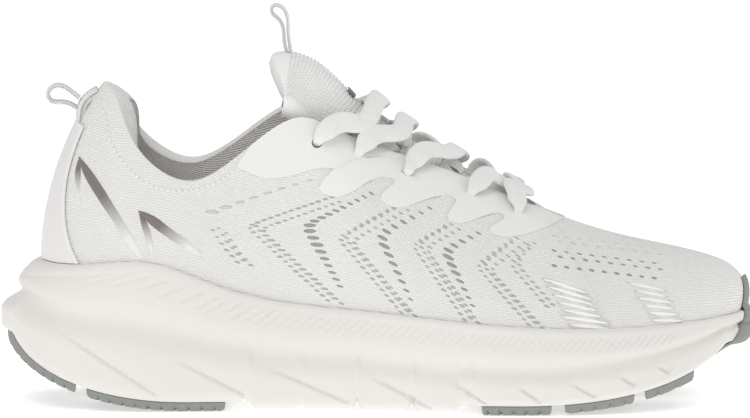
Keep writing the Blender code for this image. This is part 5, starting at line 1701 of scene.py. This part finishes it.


# %% [markdown]
# ## Ventilation holes
# Rows of knitted holes let air through the sides. They stand in arrowhead columns that
# point to the heel: columns of large oval holes between bands of fine rows, and a staggered
# field over the toes. Each is a thin grey lens set into the cloth, painted shade for the dark
# inside of the opening, darkest for the large holes, so it reads as an opening with a soft
# rim at any angle.

# %% Lines of holes
HOLE_SLOPE = math.radians(-17)
LARGE = [  # upper end, apex and lower end of each column, and how many holes
    ((-26.4, 93.4), (-46, 87.5), (-65.2, 80.8), 8),
    ((-1.8, 88.2), (-27.8, 75.5), (-14.4, 51.2), 19),
    ((21.4, 82.4), (1.2, 71.6), (13.8, 46), 14), ((40.8, 72.4), (27.2, 65.4), (38.4, 43.6), 12),
]
FINE = [  # the same, and how many rows
    ((-20.4, 86), (-52, 75.2), (-19.6, 45.6), 3), ((6.8, 82.8), (-15.6, 70.4), (9.6, 40.8), 3),
    ((27.2, 75.2), (14, 67.6), (34.8, 38), 3), ((53.6, 69.6), (39.6, 59.2), (60.4, 36), 3),
    ((60.4, 67.6), (52.8, 60), (67.6, 43.2), 2), ((-65.4, 73.6), (-62, 68), (-55.6, 60.8), 3),
]
FINE_PITCH, FINE_ROW = 2.75, 2.7
TOE_FIELD, TOE_PITCH, TOE_ROW = (71, 71.4), 5.0, 3.0  # its first hole, and its spacings
TOE_ROWS, TOE_COLUMNS = 5, 9


def bent_line(high, apex, low, count):
    """Drawn places spread along an arrowhead, rounded at its apex."""
    corner = np.array([high, apex, low], float)
    legs = np.linalg.norm(np.diff(corner, axis=0), axis=1)
    at = np.linspace(0, legs.sum(), count)
    line = np.stack([np.interp(at, [0, legs[0], legs.sum()], corner[:, k]) for k in (0, 1)], axis=1)
    soft = line.copy()
    soft[1:-1] = (line[:-2] + 2 * line[1:-1] + line[2:]) / 4
    return soft, at / legs.sum(), legs[0] / legs.sum()


print(len(LARGE), "columns of large holes and", len(FINE), "bands of fine ones")

# %% Place the holes
large, faint, small = [], [], []
for index, (high, apex, low, count) in enumerate(LARGE):
    line, at, bend = bent_line(high, apex, low, count)
    for place, share in zip(line, at):
        t, v = on_side(*place)
        swell_here = math.exp(-((share - bend - 0.1) / 0.3) ** 2) if index else share
        size = (2.4 + 2.7 * swell_here, 0.75 + 0.85 * swell_here, 1)
        for side in (LATERAL, MEDIAL):
            (large if index else faint).append(on_cloth(side, t, v, 0.02, HOLE_SLOPE, size))
for high, apex, low, rows in FINE:
    length = math.dist(high, apex) + math.dist(apex, low)
    line, at, bend = bent_line(high, apex, low, max(6, round(length / FINE_PITCH)))
    for row in range(rows):
        for k, (place, share) in enumerate(zip(line, at)):
            shift = FINE_ROW * row + (0.0 if row % 2 else 0.4)
            t, v = on_side(place[0] + shift, place[1] - 0.6 * row + 1.35 * (row % 2))
            size = (2.0 + 0.4 * share, 0.75 + 0.2 * share, 1)
            for side in (LATERAL, MEDIAL):
                small.append(on_cloth(side, t, v, 0.02, HOLE_SLOPE, size))
for row in range(TOE_ROWS):
    for k in range(TOE_COLUMNS):
        odd = row % 2
        place = (TOE_FIELD[0] + TOE_PITCH * k + TOE_PITCH / 2 * odd,
                 TOE_FIELD[1] - TOE_ROW * row - 0.62 * k + 0.5 * odd)
        t, v = on_side(*place)
        size = (2.6 - 0.06 * k, 0.65 + 0.2 * row - 0.03 * k, 1)
        for side in (LATERAL, MEDIAL):
            (large if row > 1 else faint).append(on_cloth(side, t, v, 0.02, HOLE_SLOPE / 2, size))
print(len(large), "large,", len(small), "small and", len(faint), "faint holes placed")

# %% Stamp the holes
# Grey lenses of painted shade, where the inside of each hole lies in shade
lens_dark = stamp_tree("set_dark_lenses", "lens", hole_shade)
lens_mid = stamp_tree("set_grey_lenses", "lens", mid_hole_shade)
lens_faint = stamp_tree("set_faint_lenses", "lens", faint_hole_shade)
lens_soft = stamp_tree("set_soft_lenses", "lens", soft_hole_shade_and_knit_line)
stamped("holes_large", lens_dark, large, "shell", "white_knit", Length=MM, Width=MM,
        Height=0.16 * MM, Variation=0.08, Seed=3)
stamped("holes_small", lens_mid, small, "shell", "white_knit", Length=MM, Width=MM,
        Height=0.14 * MM, Variation=0.15, Seed=5)
stamped("holes_faint", lens_faint, faint, "shell", "white_knit", Length=MM, Width=MM,
        Height=0.14 * MM, Variation=0.1, Seed=7)

# %% [markdown]
# ## Tongue mesh
# The tongue's spacer mesh is open: small round holes in staggered rows, two millimetres
# apart. They are the same lenses, in a pale grey that is painted shade inside the holes, laid
# out by the tongue's own length and arch.

# %% Holes of the spacer mesh
MESH_PITCH, MESH_HOLE, MESH_ARCH = 1.9, 1.0, 1.24
ROW_STEP = 0.87  # rows lie closer than the holes in a row
tongue_rows = []
for row in range(int(tongue_length[-1] * 0.9 / (MESH_PITCH * ROW_STEP))):
    s = 0.03 + row * MESH_PITCH * ROW_STEP / tongue_length[-1]
    half = float(TONGUE_CURVES[2](s)) + 4
    for k in range(-18, 19):
        angle = (k + 0.5 * (row % 2)) * MESH_PITCH / half
        if abs(angle) > MESH_ARCH:
            continue
        place = tongue_point(s, angle, 0.35)
        out = tongue_point(s, angle, 0, 1.0) - tongue_point(s, angle)
        run = tongue_point(s + 0.01, angle) - tongue_point(s, angle)
        tongue_rows.append((place + out * 0.33, out, run / np.linalg.norm(run), (1, 1, 1)))
stamped("tongue_holes", lens_soft, tongue_rows, "tongue", "white_knit", Length=MESH_HOLE * MM,
        Width=0.85 * MESH_HOLE * MM, Height=0.2 * MM, Variation=0.12, Seed=11)

# %% [markdown]
# ## Woven bars
# Bright flat yarn bars fan out over the side of the toes, with fine darker lines between
# them. They could be part of the knit's material, but as long thin lenses they catch the
# light, as floating yarns do.

# %% Bars over the toes
BAR_GROUPS = [(65.5, 53.0, 8, 20.0), (100, 52.4, 7, 16.0)]  # place, how many, length
BAR_FALL = 0.17  # how far a bar's middle lies below its rear end, for each millimetre ahead
bars, dark_lines = [], []
for start_x, start_up, count, length in BAR_GROUPS:
    for k in range(count):
        slope = math.radians(-14 + 1.2 * k)
        x, up = start_x + 1.6 * k, start_up - 2.7 * k
        t, v = on_side(x + length / 2, up - length / 2 * BAR_FALL)
        for side in (LATERAL, MEDIAL):
            bars.append(on_cloth(side, t, v, 0.03, slope, (length, 1.5, 1)))
        t, v = on_side(x + length / 2 + 1, up - 1.35 - length / 2 * BAR_FALL)
        for side in (LATERAL, MEDIAL):
            dark_lines.append(on_cloth(side, t, v, 0.0, slope, (length * 1.05, 0.3, 1)))
lens_white = stamp_tree("set_white_lenses", "lens", streak_yarn)
stamped("toe_bars", lens_white, bars, "shell", "white_knit", Length=MM, Width=MM,
        Height=0.22 * MM, Variation=0.1, Seed=13)
stamped("toe_lines", lens_soft, dark_lines, "shell", "white_knit", Length=MM, Width=MM,
        Height=0.2 * MM, Variation=0.1, Seed=17)

# %% [markdown]
# ## Collar stitches
# The cloth is sewn to the foam in one line below the collar's edge. Modelled threads would
# be lost at this size, so each stitch is a short round bar, and between two stitches a faint
# grey lens stands for the dimple that the needle leaves, its grey painted shade in the dimple.

# %% Stitches below the collar
SEAM = [(-111.2, 127.4), (-108, 119.2), (-106.4, 111.6), (-104.4, 106.4), (-100, 100),
        (-96, 95.6), (-88, 90.8), (-79.2, 89.2), (-67.2, 91.2), (-59.2, 95.2), (-49.6, 102.4),
        (-40, 109.2), (-33, 113.6)]
STITCH_PITCH = 2.3
seam = smooth_line(SEAM, 220)
seam_steps = np.concatenate([[0], np.cumsum(np.linalg.norm(np.diff(seam, axis=0), axis=1))])
stitches = []
for at in np.arange(0, seam_steps[-1], STITCH_PITCH):
    here = [np.interp(at, seam_steps, seam[:, k]) for k in (0, 1)]
    ahead = [np.interp(at + 1.2, seam_steps, seam[:, k]) for k in (0, 1)]
    (t0, v0), (t1, v1) = on_side(*here), on_side(*ahead)
    for side in (LATERAL, MEDIAL):
        run = rib(side, t1, v1) - rib(side, t0, v0)
        if np.linalg.norm(run) > 0.2:
            stitches.append((skin(side, t0, v0, 0.08), outward_normal(side, t0, v0),
                             run / np.linalg.norm(run), (1, 1, 1)))
# Faint grey lenses between the stitches: painted shade in the needle dimples
needle_marks = [(place - out * 0.1 + run * STITCH_PITCH / 2, out, run, size)
                for place, out, run, size in stitches]
stamped("collar_needle_marks", lens_faint, needle_marks, "shell", "white_knit", Length=1.1 * MM,
        Width=0.6 * MM, Height=0.24 * MM, Variation=0.05, Seed=23)
stitch_bars = stamp_tree("set_stitches", "bar", streak_yarn)
stamped("collar_stitches", stitch_bars, stitches, "shell", "white_knit", Length=1.7 * MM,
        Width=0.42 * MM, Height=0.42 * MM, Variation=0.05, Seed=19)
